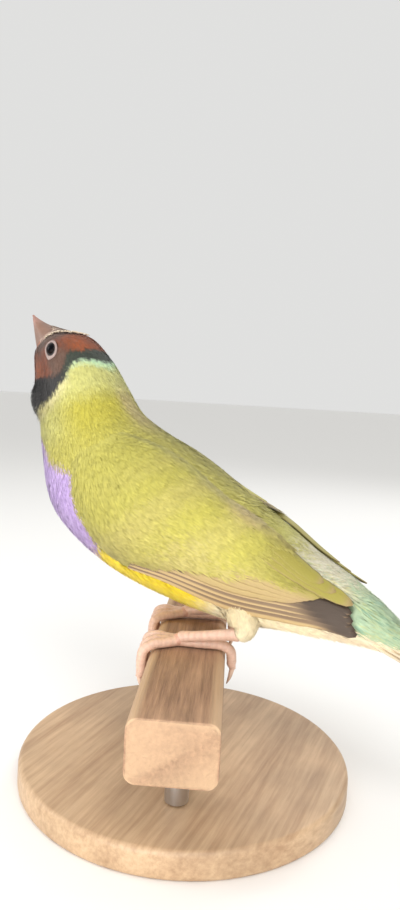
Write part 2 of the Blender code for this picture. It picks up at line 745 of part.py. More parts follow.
def stand():
    turned("stand_base", BASE_RADIUS, 0.0, BASE_HEIGHT, BASE_ROUNDING, Vector(), "oak")
    lengthways, _ = perch_directions()
    for name, side in (("stand_rod_left", 1), ("stand_rod_right", -1)):
        turned(name, ROD_RADIUS, BASE_HEIGHT + GAP, PERCH_TOP - PERCH_THICKNESS - GAP, 0.0,
               lengthways * ROD_SPACING / 2 * side, "steel")


def main():
    clear_scene()
    bird = bpy.data.objects.new("bird_zero", None)
    bird.location = (0, 0, PERCH_TOP * MM)
    bpy.context.scene.collection.objects.link(bird)

    torso = body_part("torso", TORSO_SPAN, "skin_olive", 18, bird)
    neck = body_part("neck", NECK_SPAN, "skin_olive", 5, bird)
    tail_part = tail(bird)
    for side in (1, -1):
        for part in (torso, neck, tail_part):
            cut(part, wing_pocket(side, bird))
    wing("wing_left", 1, bird)
    wing("wing_right", -1, bird)
    head_part(bird)
    ball(eye_place(1)[0], EYE_RADIUS, "eye", "eye_left", bird)
    ball(eye_place(-1)[0], EYE_RADIUS, "eye", "eye_right", bird)
    bill_half("bill_upper", bird, True)
    bill_half("bill_lower", bird, False)

    for word, side in (("left", 1), ("right", -1)):
        footing = foot("foot_" + word, side, bird)
        shank = thigh("thigh_" + word, side, bird, torso)
        leg("leg_" + word, side, bird, (footing, shank))
    perch(bird)
    stand()


main()
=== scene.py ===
"""The looks of a life-size gouldian finch on a cut length of perch and a plain stand.

Sizes are in millimetres in the bird's own frame: it faces -Y, its left is +X, and zero is the middle of the
perch's top. in_row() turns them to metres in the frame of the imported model.
"""

import math

import bmesh
import bpy
import numpy as np
from mathutils import Matrix, Vector, noise


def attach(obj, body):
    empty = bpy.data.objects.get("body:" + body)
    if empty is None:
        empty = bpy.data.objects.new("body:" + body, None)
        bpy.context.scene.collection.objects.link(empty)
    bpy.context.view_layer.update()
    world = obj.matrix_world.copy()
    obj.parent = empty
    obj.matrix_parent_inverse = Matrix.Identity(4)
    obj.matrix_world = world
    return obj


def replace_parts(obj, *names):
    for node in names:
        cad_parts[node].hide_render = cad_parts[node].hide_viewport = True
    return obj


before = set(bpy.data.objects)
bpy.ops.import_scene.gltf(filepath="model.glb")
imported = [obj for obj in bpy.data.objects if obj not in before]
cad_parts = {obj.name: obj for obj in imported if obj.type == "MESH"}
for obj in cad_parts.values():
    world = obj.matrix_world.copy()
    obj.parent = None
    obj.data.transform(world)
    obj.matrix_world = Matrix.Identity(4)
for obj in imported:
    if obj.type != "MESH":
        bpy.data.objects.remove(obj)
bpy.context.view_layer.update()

MM = 0.001
PERCH_TOP = 34.0
GAP = 0.3
TURN = 2 * math.pi
UNDERSIDE = -math.pi / 2
SIDES = ((1, "left"), (-1, "right"))

# Body stations from the tail's core to the bill's root: centre, lean, turn, half width, above, below
TAIL_LINE = (
    (0, 53, 4.6, 19, 0, 2.2, 1.3, 1.3),
    (0, 47, 6.6, 19, 0, 4.6, 3.0, 2.8),
    (0, 40, 9.0, 19, 0, 6.6, 6.0, 5.2))
TAIL_ROOT = (0.0, 34.0, 10.8, 19.0, 0.0, 8.0, 8.4, 7.2)
RUMP = (0.0, 25.5, 13.2, 19.0, 0.0, 10.5, 10.4, 9.6)
LOINS = (0.0, 15.0, 16.8, 21.0, 0.0, 13.5, 13.2, 12.2)
BELLY = (0.0, 3.0, 22.4, 25.0, 0.0, 15.8, 14.0, 15.8)
SHOULDERS = (0.0, -10.0, 29.0, 34.0, 0.0, 16.4, 15.0, 18.6)
BREAST = (0.0, -21.5, 36.0, 50.0, 0.0, 15.4, 15.2, 18.0)
NECK_ROOT = (0.0, -28.0, 44.5, 64.0, 2.0, 12.4, 12.5, 13.8)
NECK_MIDDLE = (0.1, -30.8, 51.3, 70.0, 5.0, 10.6, 11.0, 12.2)
HEAD_ROOT = (0.2, -33.0, 56.8, 62.0, 8.0, 9.4, 9.4, 12.6)
HEAD_BACK = (0.3, -34.9, 60.2, 54.0, 10.0, 8.7, 8.3, 10.8)
HEAD_EYES = (-0.1, -37.1, 62.9, 47.0, 10.0, 8.1, 7.2, 8.6)
FOREHEAD = (-0.5, -39.4, 64.7, 47.0, 10.0, 6.8, 5.9, 6.6)
BILL_ROOT = (-0.9, -41.9, 65.9, 47.0, 10.0, 4.8, 4.7, 4.4)
BODY_LINE = np.array(TAIL_LINE + (
    TAIL_ROOT, RUMP, LOINS, BELLY, SHOULDERS, BREAST, NECK_ROOT, NECK_MIDDLE,
    HEAD_ROOT, HEAD_BACK, HEAD_EYES, FOREHEAD, BILL_ROOT), float)
TAIL_STEPS = len(TAIL_LINE)
TAIL_PLACE = -3.0
BILL_PLACE = 12.0
BODY_SPAN = BILL_PLACE - TAIL_PLACE
SQUARENESS = 2.15

# Wing, in the stations of the body read backwards, and its upper and lower edge as angles up from the side
WING_END = (0.0, 44.0, 7.6, 19.0, 0.0, 8.2, 7.2, 5.6)
WING_LINE = np.array((NECK_ROOT, BREAST, SHOULDERS, BELLY, LOINS, RUMP, TAIL_ROOT, WING_END), float)
LEFT_EDGES = np.array((
    (40, 10), (64, -16), (74, -40), (68, -29), (62, -26), (52, -18), (46, -13), (32, 0)), float)
RIGHT_EDGES = np.array((
    (40, 10), (64, -16), (75, -40), (77, -29), (75, -24), (70, -14), (64, -6), (52, 6)), float)
RIGHT_RAISE = 0.9
RAISED_SPAN = (2.8, 4.2)
WING_SPAN = (0.45, 6.4)
WING_SINK = 2.0
ARM_THICKNESS = 2.4
ARM_LENGTH = 0.5

# Head, eyes with their bare rings, and bill; the stretch makes a ring nearly half as long again as high
HEAD_PITCH = math.radians(47)
HEAD_TURN = math.radians(10)
EYE_STATION = 9.9
EYE_ANGLE = math.radians(17)
EYE_RADIUS = 1.85
EYE_SINK = 1.35
LID_RADIUS = 1.76
LID_HALF_WIDTH = 0.34
LID_HALF_HEIGHT = 0.28
LID_BACK = 0.30
LID_DOWN = 0.18
LID_STRETCH = ((1.03, -0.54), (0.43, 0.68))
LID_INNER_RADIUS = 0.95
LID_BEADS = 20
BARE_AHEAD = 0.17
BARE_RADII = (1.9, 2.25)
BILL_LENGTH = 10.6
BILL_HALF_WIDTH = 4.4
BILL_TIP_RADIUS = 0.28
BILL_CURVE = 1.08
CULMEN_HEIGHT = 4.4
CULMEN_CURVE = 1.6
JAW_CURVE = 1.15
JAW_LENGTH = 0.94
JAW_WIDTH = 0.93
JAW_DEPTH = 4.3
MOUTH_ANGLE = math.radians(4)
MOUTH_DROOP = 0.3
BILL_BURIED = 0.5
NOSTRIL_ALONG = 1.3
NOSTRIL_ANGLE = math.radians(58)
NOSTRIL_DEPTH = 0.30
NOSTRIL_LENGTH = 0.38
NOSTRIL_SPREAD = 0.11
RIDGE_HEIGHT = 0.10
RIDGE_SPREAD = 0.16

# Perch and legs
PERCH_TURN = math.radians(20)
PERCH_WIDTH = 16.5
PERCH_THICKNESS = 12.0
PERCH_LENGTH = 90.0
PERCH_ROUNDING = 2.2
PERCH_END_ROUNDING = 0.35
PERCH_WEAR_WIDTH = 2.6
FOOT_ALONG = 10.0
FOOT_ACROSS = -2.2
TOE_RADIUS = 1.0
TOE_RADII = (1.1, 1.0, 1.0, 1.0, 0.95, 0.9)
TOE_FULLNESS = 1.14
TOE_END = 0.66
CLAW_RADII = (0.60, 0.42, 0.10)
BALL_RADIUS = 1.5
BALL_HEIGHT = 1.35
BALL_RISE = 0.4
ANKLE_BACK = 0.6
ANKLE_RISE = 0.9
HEEL = (10.5, 15.0, 5.4)
# Toes: spread along the perch, forward or back over its edge, and the drop below its top
TOES = ((-3.4, -1.0, 4.0), (0.2, -1.0, 6.0), (3.4, -1.0, 4.4), (0.6, 1.0, 2.6))
# The bare leg from the ankle to the heel: parts of its length, and radii
LEG_STEPS = ((-0.06, 0.6), (0.0, 1.35), (0.2, 1.2), (0.5, 1.18), (0.85, 1.28), (1.0, 1.5), (1.06, 1.0))
# The shank from the heel into the belly: outward, back and up, and radii
THIGH_STEPS = ((0.0, 0.0, 0.0), (0.0, 1.1, 0.9), (-0.5, 0.8, 2.7), (-1.4, -0.8, 5.4), (-2.2, -4.2, 8.5))
THIGH_RADII = (1.6, 2.4, 3.4, 3.9, 3.8)
# Stand
BASE_RADIUS = 38.0
BASE_HEIGHT = 6.0
BASE_ROUNDING = 1.2
ROD_RADIUS = 2.5
ROD_SPACING = 44.0
ROD_ROUNDING = 0.25

# The photo's viewpoint and the studio, in metres in the row's frame
CAMERA_PLACE = (0.14507, 0.06046, 0.0878)
CAMERA_TURN = (
    (-0.38981653, -0.04958955, 0.91955639),
    (0.91910261, -0.08317868, 0.38513854),
    (0.05738864, 0.99530005, 0.07800231))
CAMERA_LENS = 27.297
SENSOR_WIDTH = 36.0
NEAREST_SEEN = 0.005
FLOOR_SIZE = 30.0
FLOOR_COLOUR = (0.89, 0.88, 0.86, 1)
SKY_COLOUR = (0.85, 0.85, 0.84, 1)
SKY_STRENGTH = 0.88
LAMP_TARGET = (0, -0.01, 0.07)
LAMPS = (
    ("key", (0.42, 0.26, 0.52), 0.35, 1.8),
    ("fill", (0.40, -0.06, 0.06), 0.3, 0.78),
    ("back", (-0.45, 0.10, 0.45), 0.4, 0.9),
    ("front", (0.12, -0.36, 0.22), 0.2, 0.35),
    ("under", (0.17, 0.04, 0.02), 0.14, 0.14))

# Plumage colours, linear
MASK_RED = (0.255, 0.066, 0.024)
MASK_ORANGE = (0.47, 0.110, 0.020)
MASK_BROWN = (0.155, 0.094, 0.066)
BAND_DARK = (0.050, 0.062, 0.044)
THROAT_BLACK = (0.036, 0.033, 0.031)
TURQUOISE = (0.66, 0.90, 0.62)
LIME = (0.63, 0.61, 0.21)
PALE_LIME = (0.53, 0.50, 0.14)
YELLOW = (0.65, 0.58, 0.09)
NECK_YELLOW = (0.54, 0.48, 0.06)
OLIVE = (0.53, 0.48, 0.09)
OLIVE_DEEP = (0.43, 0.40, 0.09)
TAN = (0.58, 0.47, 0.20)
PINKISH_TAN = (0.66, 0.45, 0.28)
LILAC = (0.57, 0.415, 0.71)
BELLY_YELLOW = (1.00, 0.80, 0.02)
CREAM = (1.00, 0.88, 0.62)
VENT_WHITE = (0.90, 0.77, 0.56)
RUMP_PALE = (0.66, 0.61, 0.46)
MINT = (0.43, 0.55, 0.35)
MINT_DEEP = (0.27, 0.42, 0.28)
PRIMARY_DARK = (0.060, 0.037, 0.022)
PRIMARY_TAN = (0.36, 0.235, 0.13)
PRIMARY_EDGE = (0.54, 0.38, 0.175)
TAIL_DARK = (0.030, 0.030, 0.030)
TERTIAL_OLIVE = (0.30, 0.255, 0.036)
WING_SHADE = 0.87
BROW_TAN = (0.42, 0.27, 0.20)
SECONDARY_TAN = (0.45, 0.33, 0.13)
THIGH_CREAM = (0.74, 0.62, 0.38)
THIGH_WHITE = (0.78, 0.68, 0.47)


def mix(first, second, part):
    """Colours or numbers mixed by an array of parts from 0 to 1."""
    part = np.clip(np.asarray(part, float), 0, 1)
    if np.ndim(first) or np.ndim(second):
        part = part[..., None]
    return np.asarray(first) * (1 - part) + np.asarray(second) * part


def laid(colour, *coats):
    """A colour with others laid over it in turn, each with its part."""
    for over, part in coats:
        colour = mix(colour, over, part)
    return colour


def rise(low, high, value):
    """A smooth step from 0 at low to 1 at high."""
    part = np.clip((np.asarray(value, float) - low) / (high - low), 0, 1)
    return part * part * (3 - 2 * part)


def degrees_up(angle):
    """How far up from the side an angle round the body is, the same on both sides."""
    return np.degrees(np.arcsin(np.sin(angle)))


def matched(*values):
    """Numbers and arrays as arrays of one shape."""
    return np.broadcast_arrays(*(np.asarray(each, float) for each in values))


def columns(*values):
    """Numbers and arrays with a last axis added, to multiply directions by."""
    return [np.asarray(each, float)[..., None] for each in values]


def unit(vector):
    return vector / np.linalg.norm(vector, axis=-1, keepdims=True)


def round_of(first, second, turn):
    """Directions at angles turned from the first towards the second."""
    return first * np.cos(turn)[..., None] + second * np.sin(turn)[..., None]


def read_along(line, place):
    """A Catmull-Rom reading of a table of stations at places counted in its steps."""
    place = np.asarray(place, float)
    last = len(line) - 1
    step = np.clip(np.floor(place).astype(int), 0, last - 1)
    part = (place - step)[..., None]
    a, b, c, d = (line[np.clip(step + shift, 0, last)] for shift in (-1, 0, 1, 2))
    return 0.5 * (2 * b + (c - a) * part + (2 * a - 5 * b + 4 * c - d) * part**2
                  + (3 * b - a - 3 * c + d) * part**3)


def ring_point(station, angle, grow):
    """Points of rounded cross sections at angles up from their left side."""
    lean = np.radians(station[..., 3])
    turn = np.radians(station[..., 4])
    forward = np.stack([-np.sin(turn) * np.cos(lean), -np.cos(turn) * np.cos(lean), np.sin(lean)], -1)
    left = np.stack([np.cos(turn), -np.sin(turn), 0 * turn], -1)
    upward = -np.cross(left, forward)
    across, up = (np.sign(each) * np.abs(each) ** (2 / SQUARENESS)
                  for each in (np.cos(angle), np.sin(angle)))
    reach = np.where(up > 0, station[..., 6], station[..., 7]) + grow
    return (station[..., :3] + left * ((station[..., 5] + grow) * across)[..., None]
            + upward * (reach * up)[..., None])


def body_point(place, angle, grow):
    """The body's surface: a place from -3 in the tail to 12 at the bill's root, and an angle."""
    place, angle, grow = matched(place, angle, grow)
    return ring_point(read_along(BODY_LINE, place + TAIL_STEPS), angle, grow)


def wing_point(side, along, down, height):
    """The wing's surface: along it from 0 at the shoulder to 1 at its end, down it and off its inside."""
    along, down, height = matched(along, down, height)
    place = WING_SPAN[0] + (WING_SPAN[1] - WING_SPAN[0]) * along
    edges = read_along(LEFT_EDGES if side > 0 else RIGHT_EDGES, place)
    angle = np.radians(edges[..., 0] + (edges[..., 1] - edges[..., 0]) * down)
    if side < 0:
        raised = np.clip((place - RAISED_SPAN[0]) / (RAISED_SPAN[1] - RAISED_SPAN[0]), 0, 1)
        height = height + RIGHT_RAISE * raised * np.clip(1 - down**2, 0, 1)
    found = ring_point(read_along(WING_LINE, place), angle, height - WING_SINK)
    return found * np.array([side, 1.0, 1.0])


def wing_place(place, angle):
    """Where a point of the body lies on the wing of its own side, as along and down."""
    step = BILL_PLACE / 2 - place
    within = np.clip(step, 0, len(LEFT_EDGES) - 1)
    on_left = (np.cos(angle) > 0)[..., None]
    edges = np.where(on_left, read_along(LEFT_EDGES, within), read_along(RIGHT_EDGES, within))
    down = (edges[..., 0] - degrees_up(angle)) / (edges[..., 0] - edges[..., 1])
    return (step - WING_SPAN[0]) / (WING_SPAN[1] - WING_SPAN[0]), down


def in_row(points):
    """Points of the bird's own frame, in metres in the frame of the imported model."""
    return (np.asarray(points, float) + np.array([0, 0, PERCH_TOP])) * MM


def head_directions():
    """Forward, left and up as the head is held."""
    forward = np.array([-math.sin(HEAD_TURN) * math.cos(HEAD_PITCH),
                        -math.cos(HEAD_TURN) * math.cos(HEAD_PITCH), math.sin(HEAD_PITCH)])
    left = np.array([math.cos(HEAD_TURN), -math.sin(HEAD_TURN), 0.0])
    return forward, left, -np.cross(left, forward)


def from_head(along, side, up):
    """Points measured from the middle of the bill's root, as the head is held."""
    forward, left, upward = head_directions()
    along, side, up = columns(along, side, up)
    return np.array(BILL_ROOT[:3]) + forward * along + left * side + upward * up


# Materials
def feed(tree, socket, given):
    """Links an input to a source, or else sets its value."""
    if isinstance(given, bpy.types.NodeSocket):
        tree.links.new(given, socket)
    else:
        socket.default_value = given


def node(tree, kind, inputs, **settings):
    """The outputs of a new node. Its inputs, by number or name, are given as sources or values."""
    made = tree.nodes.new(kind)
    for title, value in settings.items():
        setattr(made, title, value)
    for socket, given in inputs.items():
        feed(tree, made.inputs[socket], given)
    return made.outputs


def group_tree(name, inputs, outputs):
    """An empty node group, what comes into it and what it puts out."""
    tree = bpy.data.node_groups.new(name, "ShaderNodeTree")
    for title, kind, value in inputs:
        made = tree.interface.new_socket(name=title, in_out="INPUT", socket_type="NodeSocket" + kind)
        made.default_value = value
    for title, kind in outputs:
        tree.interface.new_socket(name=title, in_out="OUTPUT", socket_type="NodeSocket" + kind)
    return tree, tree.nodes.new("NodeGroupInput").outputs, tree.nodes.new("NodeGroupOutput").inputs


def soft_mottle():
    """Colour that drifts lighter and darker over the surface."""
    tree, given, out = group_tree(
        "soft_mottle",
        (("Color", "Color", (1, 1, 1, 1)), ("Vector", "Vector", (0, 0, 0)),
         ("Scale", "Float", 400.0), ("Amount", "Float", 0.3)),
        (("Color", "Color"), ("Mask", "Float")))
    spots = node(tree, "ShaderNodeTexNoise",
                 {"Vector": given["Vector"], "Scale": given["Scale"], "Detail": 3.0})
    centred = node(tree, "ShaderNodeMath", {0: spots["Fac"], 1: 0.5}, operation="SUBTRACT")
    scaled = node(tree, "ShaderNodeMath", {0: centred[0], 1: given["Amount"]}, operation="MULTIPLY")
    gain = node(tree, "ShaderNodeMath", {0: scaled[0], 1: 2.0, 2: 1.0}, operation="MULTIPLY_ADD")
    tinted = node(tree, "ShaderNodeVectorMath", {0: given["Color"], "Scale": gain[0]}, operation="SCALE")
    feed(tree, out["Color"], tinted[0])
    feed(tree, out["Mask"], spots["Fac"])
    return tree


def fine_lines():
    """Thin lines along one direction, as barbs or wood fibres."""
    tree, given, out = group_tree(
        "fine_lines",
        (("Vector", "Vector", (0, 0, 0)), ("Scale", "Float", 1.0), ("Stretch", "Vector", (1, 20, 20))),
        (("Lines", "Float"),))
    stretched = node(tree, "ShaderNodeVectorMath", {0: given["Vector"], 1: given["Stretch"]},
                     operation="MULTIPLY")
    lines = node(tree, "ShaderNodeTexNoise",
                 {"Vector": stretched[0], "Scale": given["Scale"], "Detail": 4.0, "Roughness": 0.65})
    feed(tree, out["Lines"], lines["Fac"])
    return tree


MOTTLE = soft_mottle()
LINES = fine_lines()


def mottled(tree, colour, place, scale, amount):
    return node(tree, "ShaderNodeGroup",
                {"Color": colour, "Vector": place, "Scale": scale, "Amount": amount}, node_tree=MOTTLE)


def lined(tree, place, scale, stretch):
    return node(tree, "ShaderNodeGroup", {"Vector": place, "Scale": scale, "Stretch": stretch},
                node_tree=LINES)["Lines"]


def attribute(tree, name):
    return node(tree, "ShaderNodeAttribute", {}, attribute_name=name)


def own_place(tree):
    """The surface's own Object coordinates."""
    return node(tree, "ShaderNodeTexCoord", {})["Object"]


def new_material(name, roughness, **values):
    """A finish, its node tree and its shader's inputs, with values of those inputs by name."""
    made = bpy.data.materials.new(name)
    made.use_nodes = True
    shader = made.node_tree.nodes["Principled BSDF"].inputs
    shader["Roughness"].default_value = roughness
    for title, value in values.items():
        shader[title.replace("_", " ")].default_value = value
    return made, made.node_tree, shader


def add_bump(tree, shader, height, strength, distance):
    bump = node(tree, "ShaderNodeBump", {"Strength": strength, "Distance": distance, "Height": height})
    feed(tree, shader["Normal"], bump["Normal"])


def tinted_material(name, roughness, scale, amount, bump=0.0, **values):
    """A finish that takes its markings from the piece's own tint, drifting a little over the surface."""
    made, tree, shader = new_material(name, roughness, **values)
    drift = mottled(tree, attribute(tree, "tint")["Color"], own_place(tree), scale, amount)
    feed(tree, shader["Base Color"], drift["Color"])
    if bump:
        add_bump(tree, shader, drift["Mask"], 0.5, bump)
    return made


def vane_material(name):
    """Flight feathers: the tint, with barbs slanting off the shaft."""
    made, tree, shader = new_material(name, 0.55, Sheen_Weight=0.05)
    barb = attribute(tree, "barb")["Vector"]
    drift = mottled(tree, attribute(tree, "tint")["Color"], barb, 30.0, 0.16)
    feed(tree, shader["Base Color"], drift["Color"])
    add_bump(tree, shader, lined(tree, barb, 1.0, (60.0, 3.0, 1.0)), 0.5, 0.00012)
    return made


def mixed(tree, part, first, second):
    """A colour between two colours, by the numbers that the Mix node has for its colour sockets."""
    return node(tree, "ShaderNodeMix", {0: part, 6: first, 7: second}, data_type="RGBA")[2]


def wood_material(name, dark, light, turn, scale, roughness, bump, worn=None):
    """Wood with its grain along the piece's length, in fine fibres over broad bands, and rubbed edges."""
    made, tree, shader = new_material(name, roughness)
    turned = node(tree, "ShaderNodeMapping", {"Vector": own_place(tree), "Rotation": (0, 0, -turn)})[0]
    fibre = lined(tree, turned, scale, (0.9, 16.0, 16.0))
    broad = lined(tree, turned, scale * 0.25, (0.7, 9.0, 9.0))
    both = node(tree, "ShaderNodeMath", {0: fibre, 1: broad}, operation="ADD")[0]
    ramp = node(tree, "ShaderNodeMapRange", {0: both, 1: 0.72, 2: 1.28})[0]
    colour = mixed(tree, ramp, dark + (1.0,), light + (1.0,))
    colour = mottled(tree, colour, turned, 90.0, 0.25)["Color"]
    if worn:
        colour = mixed(tree, attribute(tree, "worn")["Fac"], colour, worn + (1.0,))
    feed(tree, shader["Base Color"], colour)
    add_bump(tree, shader, both, 0.6, bump)
    return made


def steel_material():
    """Drawn steel, polished round the rod."""
    made, tree, shader = new_material("rod_steel", 0.3, Metallic=1.0, Base_Color=(0.55, 0.55, 0.56, 1))
    lines = lined(tree, own_place(tree), 400.0, (0.2, 0.2, 12.0))
    feed(tree, shader["Roughness"], node(tree, "ShaderNodeMapRange", {0: lines, 3: 0.22, 4: 0.42})[0])
    add_bump(tree, shader, lines, 0.2, 0.00003)
    return made


# Finishes: roughness, scale and amount of the drift, and depth of the bump in metres
PLUMAGE = tinted_material("plumage", 0.62, 900.0, 0.22, Sheen_Weight=0.2)
SKIN = tinted_material("skin", 0.75, 700.0, 0.2)
VANES = vane_material("flight_feathers")
BILL_HORN = tinted_material("bill_horn", 0.42, 420.0, 0.3, 0.00006)
EYE_GLASS = tinted_material("eye_glass", 0.08, 900.0, 0.1, Specular_IOR_Level=0.06)
LID_SKIN = tinted_material("lid_skin", 0.55, 1500.0, 0.3, 0.00008)
LEG_SKIN = tinted_material("leg_skin", 0.36, 1100.0, 0.25, 0.00006)
SHEATH_WAX = tinted_material("sheath_wax", 0.4, 1400.0, 0.25, 0.00003)
CLAW_HORN = tinted_material("claw_horn", 0.35, 700.0, 0.2)
PERCH_WOOD = wood_material("perch_wood", (0.18, 0.095, 0.055), (0.48, 0.28, 0.165), PERCH_TURN, 80.0, 0.75,
                           0.0005, worn=(0.56, 0.37, 0.22))
STAND_OAK = wood_material("stand_oak", (0.36, 0.22, 0.12), (0.58, 0.40, 0.24), 0.0, 60.0, 0.45, 0.00012)
ROD_STEEL = steel_material()


# Making pieces
def show(name, data):
    """An object in the scene from a mesh, a lamp or a camera."""
    made = bpy.data.objects.new(name, data)
    bpy.context.scene.collection.objects.link(made)
    return made


def dress(name, mesh, finish, sharp=None):
    """A smooth piece of the model in its finish, with edges sharper than an angle in degrees kept crisp."""
    mesh.shade_smooth()
    if sharp:
        mesh.set_sharp_from_angle(angle=math.radians(sharp))
    mesh.materials.append(finish)
    made = show(name, mesh)
    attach(made, "root")
    return made


def finish_mesh(name, shape, finish, sharp=None):
    """A piece from a bmesh whose points are in metres in the row's frame."""
    mesh = bpy.data.meshes.new(name)
    shape.to_mesh(mesh)
    shape.free()
    return dress(name, mesh, finish, sharp)


def add_grid(shape, place, tint, steps, rows, wrap=False, caps=False, thickness=0.0, cell=None):
    """Adds a grid laid out by place(along, across), both from 0 to 1, with its tint, to a bmesh.

    wrap joins its two long sides and caps close its ends. A cell is the grid's own patch of the bake: its
    corner, the shift of its barbs and its size.
    """
    if "tint" not in shape.verts.layers.float_color:
        shape.verts.layers.float_color.new("tint")
        shape.verts.layers.float_vector.new("barb")
        if cell:
            shape.loops.layers.uv.new("OFBake")
    tint_layer = shape.verts.layers.float_color["tint"]
    barb_layer = shape.verts.layers.float_vector["barb"]
    made = bmesh.ops.create_grid(shape, x_segments=steps, y_segments=rows, size=0.5)["verts"]
    along = np.array([vert.co.x + 0.5 for vert in made])
    across = np.array([vert.co.y + 0.5 for vert in made])
    points = in_row(place(along, across))
    colours = np.broadcast_to(tint(along, across), (len(made), 3))
    for vert, point, colour, u, v in zip(made, points, colours, along, across):
        vert.co = point
        vert[tint_layer] = (*colour, 1.0)
        vert[barb_layer] = (u - 0.35 * abs(v - 0.5), v, cell[2] if cell else 0.0)
    faces = list({face for vert in made for face in vert.link_faces})
    if cell:
        layer = shape.loops.layers.uv["OFBake"]
        spots = {vert: (cell[0] + u * cell[3], cell[1] + v * cell[4])
                 for vert, u, v in zip(made, along, across)}
        for face in faces:
            for loop in face.loops:
                loop[layer].uv = spots[loop.vert]
    if wrap:
        bmesh.ops.remove_doubles(shape, verts=made, dist=1e-7)
        made = [vert for vert in made if vert.is_valid]
        faces = [face for face in faces if face.is_valid]
    if caps:
        rims = [edge for edge in {edge for face in faces for edge in face.edges} if edge.is_boundary]
        faces += bmesh.ops.holes_fill(shape, edges=rims, sides=0)["faces"]
    bmesh.ops.recalc_face_normals(shape, faces=faces)
    if thickness:
        bmesh.ops.solidify(shape, geom=faces, thickness=thickness * MM)


# Markings. Rear edges of the mask and the dark band: degrees up from the side, and places along the body
MASK_EDGE = (
    (-90, -60, -45, -31, -14, 0, 14, 24, 33, 42, 53, 61, 77, 90),
    (10.9, 10.3, 9.6, 9.4, 8.95, 8.58, 8.5, 8.81, 9.15, 9.36, 9.24, 9.1, 9.14, 9.14))
BAND_EDGE = (
    (-90, -40, -20, -7, 2, 9, 17, 23, 31, 43, 55, 69, 85),
    (7.35, 7.5, 7.6, 7.72, 7.9, 8.06, 8.14, 8.37, 8.54, 8.66, 8.65, 8.52, 8.42))
# Upper edges of the lilac breast and the yellow belly: places, and degrees up
LILAC_EDGE = (
    (4.25, 4.36, 4.51, 4.75, 5.06, 5.33, 5.53, 5.69, 5.98, 6.41, 6.8),
    (-45, -37, -26, -16, -8, -6, -12, -21, -31, -40, -62))
BELLY_EDGE = ((-1, 0, 1, 2, 2.67, 3.08, 3.55, 3.96, 4.32), (0, -6, -10, -16, -20, -21, -25, -35, -44))


def markings(place, angle, wander=0.0):
    """The plumage's colour at a place along the body and an angle round it.

    A tuft's wander shifts the place where it reads the markings and sets its own fleck of colour.
    """
    place = np.asarray(place, float) + wander
    fleck = np.asarray(wander, float) * 20
    up = degrees_up(angle) + fleck * 0.45
    mask_edge = np.interp(up, *MASK_EDGE)
    band_edge = np.interp(up, *BAND_EDGE)
    colour = laid(
        OLIVE,
        (OLIVE_DEEP, rise(3.2, 1.5, place) * rise(10, 45, up) * 0.5),
        (TAN, rise(5.0, 6.4, place) * rise(62, 82, up) * 0.75),
        (NECK_YELLOW, rise(5.6, 6.6, place) * rise(2, 22, up) * rise(84, 66, up)),
        (LIME, rise(6.9, 7.7, place)),
        (PALE_LIME, rise(5.9, 6.6, place) * rise(8, -12, up)))
    fringe = np.interp(up, (-40, 0, 40, 70, 90), (0.16, 0.18, 0.26, 0.50, 0.62))
    rump = laid(RUMP_PALE, (MINT, 0.5 * rise(0.5, 1.5, fleck)), (PALE_LIME, 0.6 * rise(-0.5, -1.5, fleck)))
    mint = laid(MINT, (MINT_DEEP, rise(0.5, 1.5, fleck)), (PALE_LIME, 0.45 * rise(-0.7, -1.6, fleck)))
    under = rise(3, -3, up - np.interp(place, *LILAC_EDGE)) * rise(6.75, 6.4, place)
    below = rise(4, -4, up - np.interp(place, *BELLY_EDGE)) * rise(4.34, 4.18, place)
    pale = laid(BELLY_YELLOW, (CREAM, rise(2.95, 2.4, place)), (VENT_WHITE, rise(1.0, 0.0, place)))
    dark = mix(THROAT_BLACK, BAND_DARK, rise(5, 30, up))
    colour = laid(
        colour,
        (CREAM, 0.4 * rise(-1, 0, (place - band_edge) / 0.6) * rise(35, 5, up)),
        (TURQUOISE, rise(-1, 0, (place - band_edge) / fringe) * rise(5, 60, up)),
        (PALE_LIME, rise(2.7, 1.9, place) * rise(44, 60, up) * 0.8),
        (rump, rise(1.8, 1.2, place) * rise(30, 50, up)),
        (mint, rise(0.5, -0.3, place) * rise(-12, 4, up)),
        (LILAC, under * rise(4.18, 4.34, place)),
        (pale, below),
        (dark, rise(-0.07, 0.07, place - band_edge)))
    behind_eye = rise(10.1, 9.4, place) * rise(-6, 4, up) * rise(44, 30, up)
    mask = laid(
        MASK_RED,
        (MASK_ORANGE, rise(35, 62, up) * rise(8.6, 9.4, place) * rise(11.6, 10.6, place)),
        (MASK_ORANGE, rise(-8, -20, up) * rise(-60, -40, up)),
        (MASK_BROWN, 0.85 * behind_eye),
        (MASK_BROWN, 0.75 * rise(10.3, 11.2, place) * rise(-30, 5, up)),
        (BROW_TAN, 0.8 * rise(11.0, 11.7, place) * rise(-60, 0, up)),
        (MASK_BROWN, 0.5 * rise(0.02, 0.08, np.abs(wander))))
    return mix(colour, mask, rise(-0.08, 0.08, place - mask_edge))


def unwrap(place, angle):
    """Where a point of the skin lies on its own unwrap, open along the belly."""
    return np.stack([(angle - UNDERSIDE) % TURN / TURN, (np.asarray(place) - TAIL_PLACE) / BODY_SPAN], -1)


# A barb of a tuft: its points as parts of its length and width and a side, its triangles, and its painted
# shade, darker at the root where the barbs lie among others and a little lighter at the tip
BARB = [(part, width, side)
        for part, width in ((0.0, 0.55), (0.34, 1.0), (0.7, 0.8)) for side in (-0.5, 0.5)]
BARB.append((1.0, 0.0, 0.0))
BARB_FACES = np.array(((0, 1, 3), (0, 3, 2), (2, 3, 5), (2, 5, 4), (4, 5, 6)))
BARB_PAINTED_SHADE = np.array((0.88, 0.88, 0.96, 0.96, 1.01, 1.01, 1.03))
BAKE_PATCH = 0.003
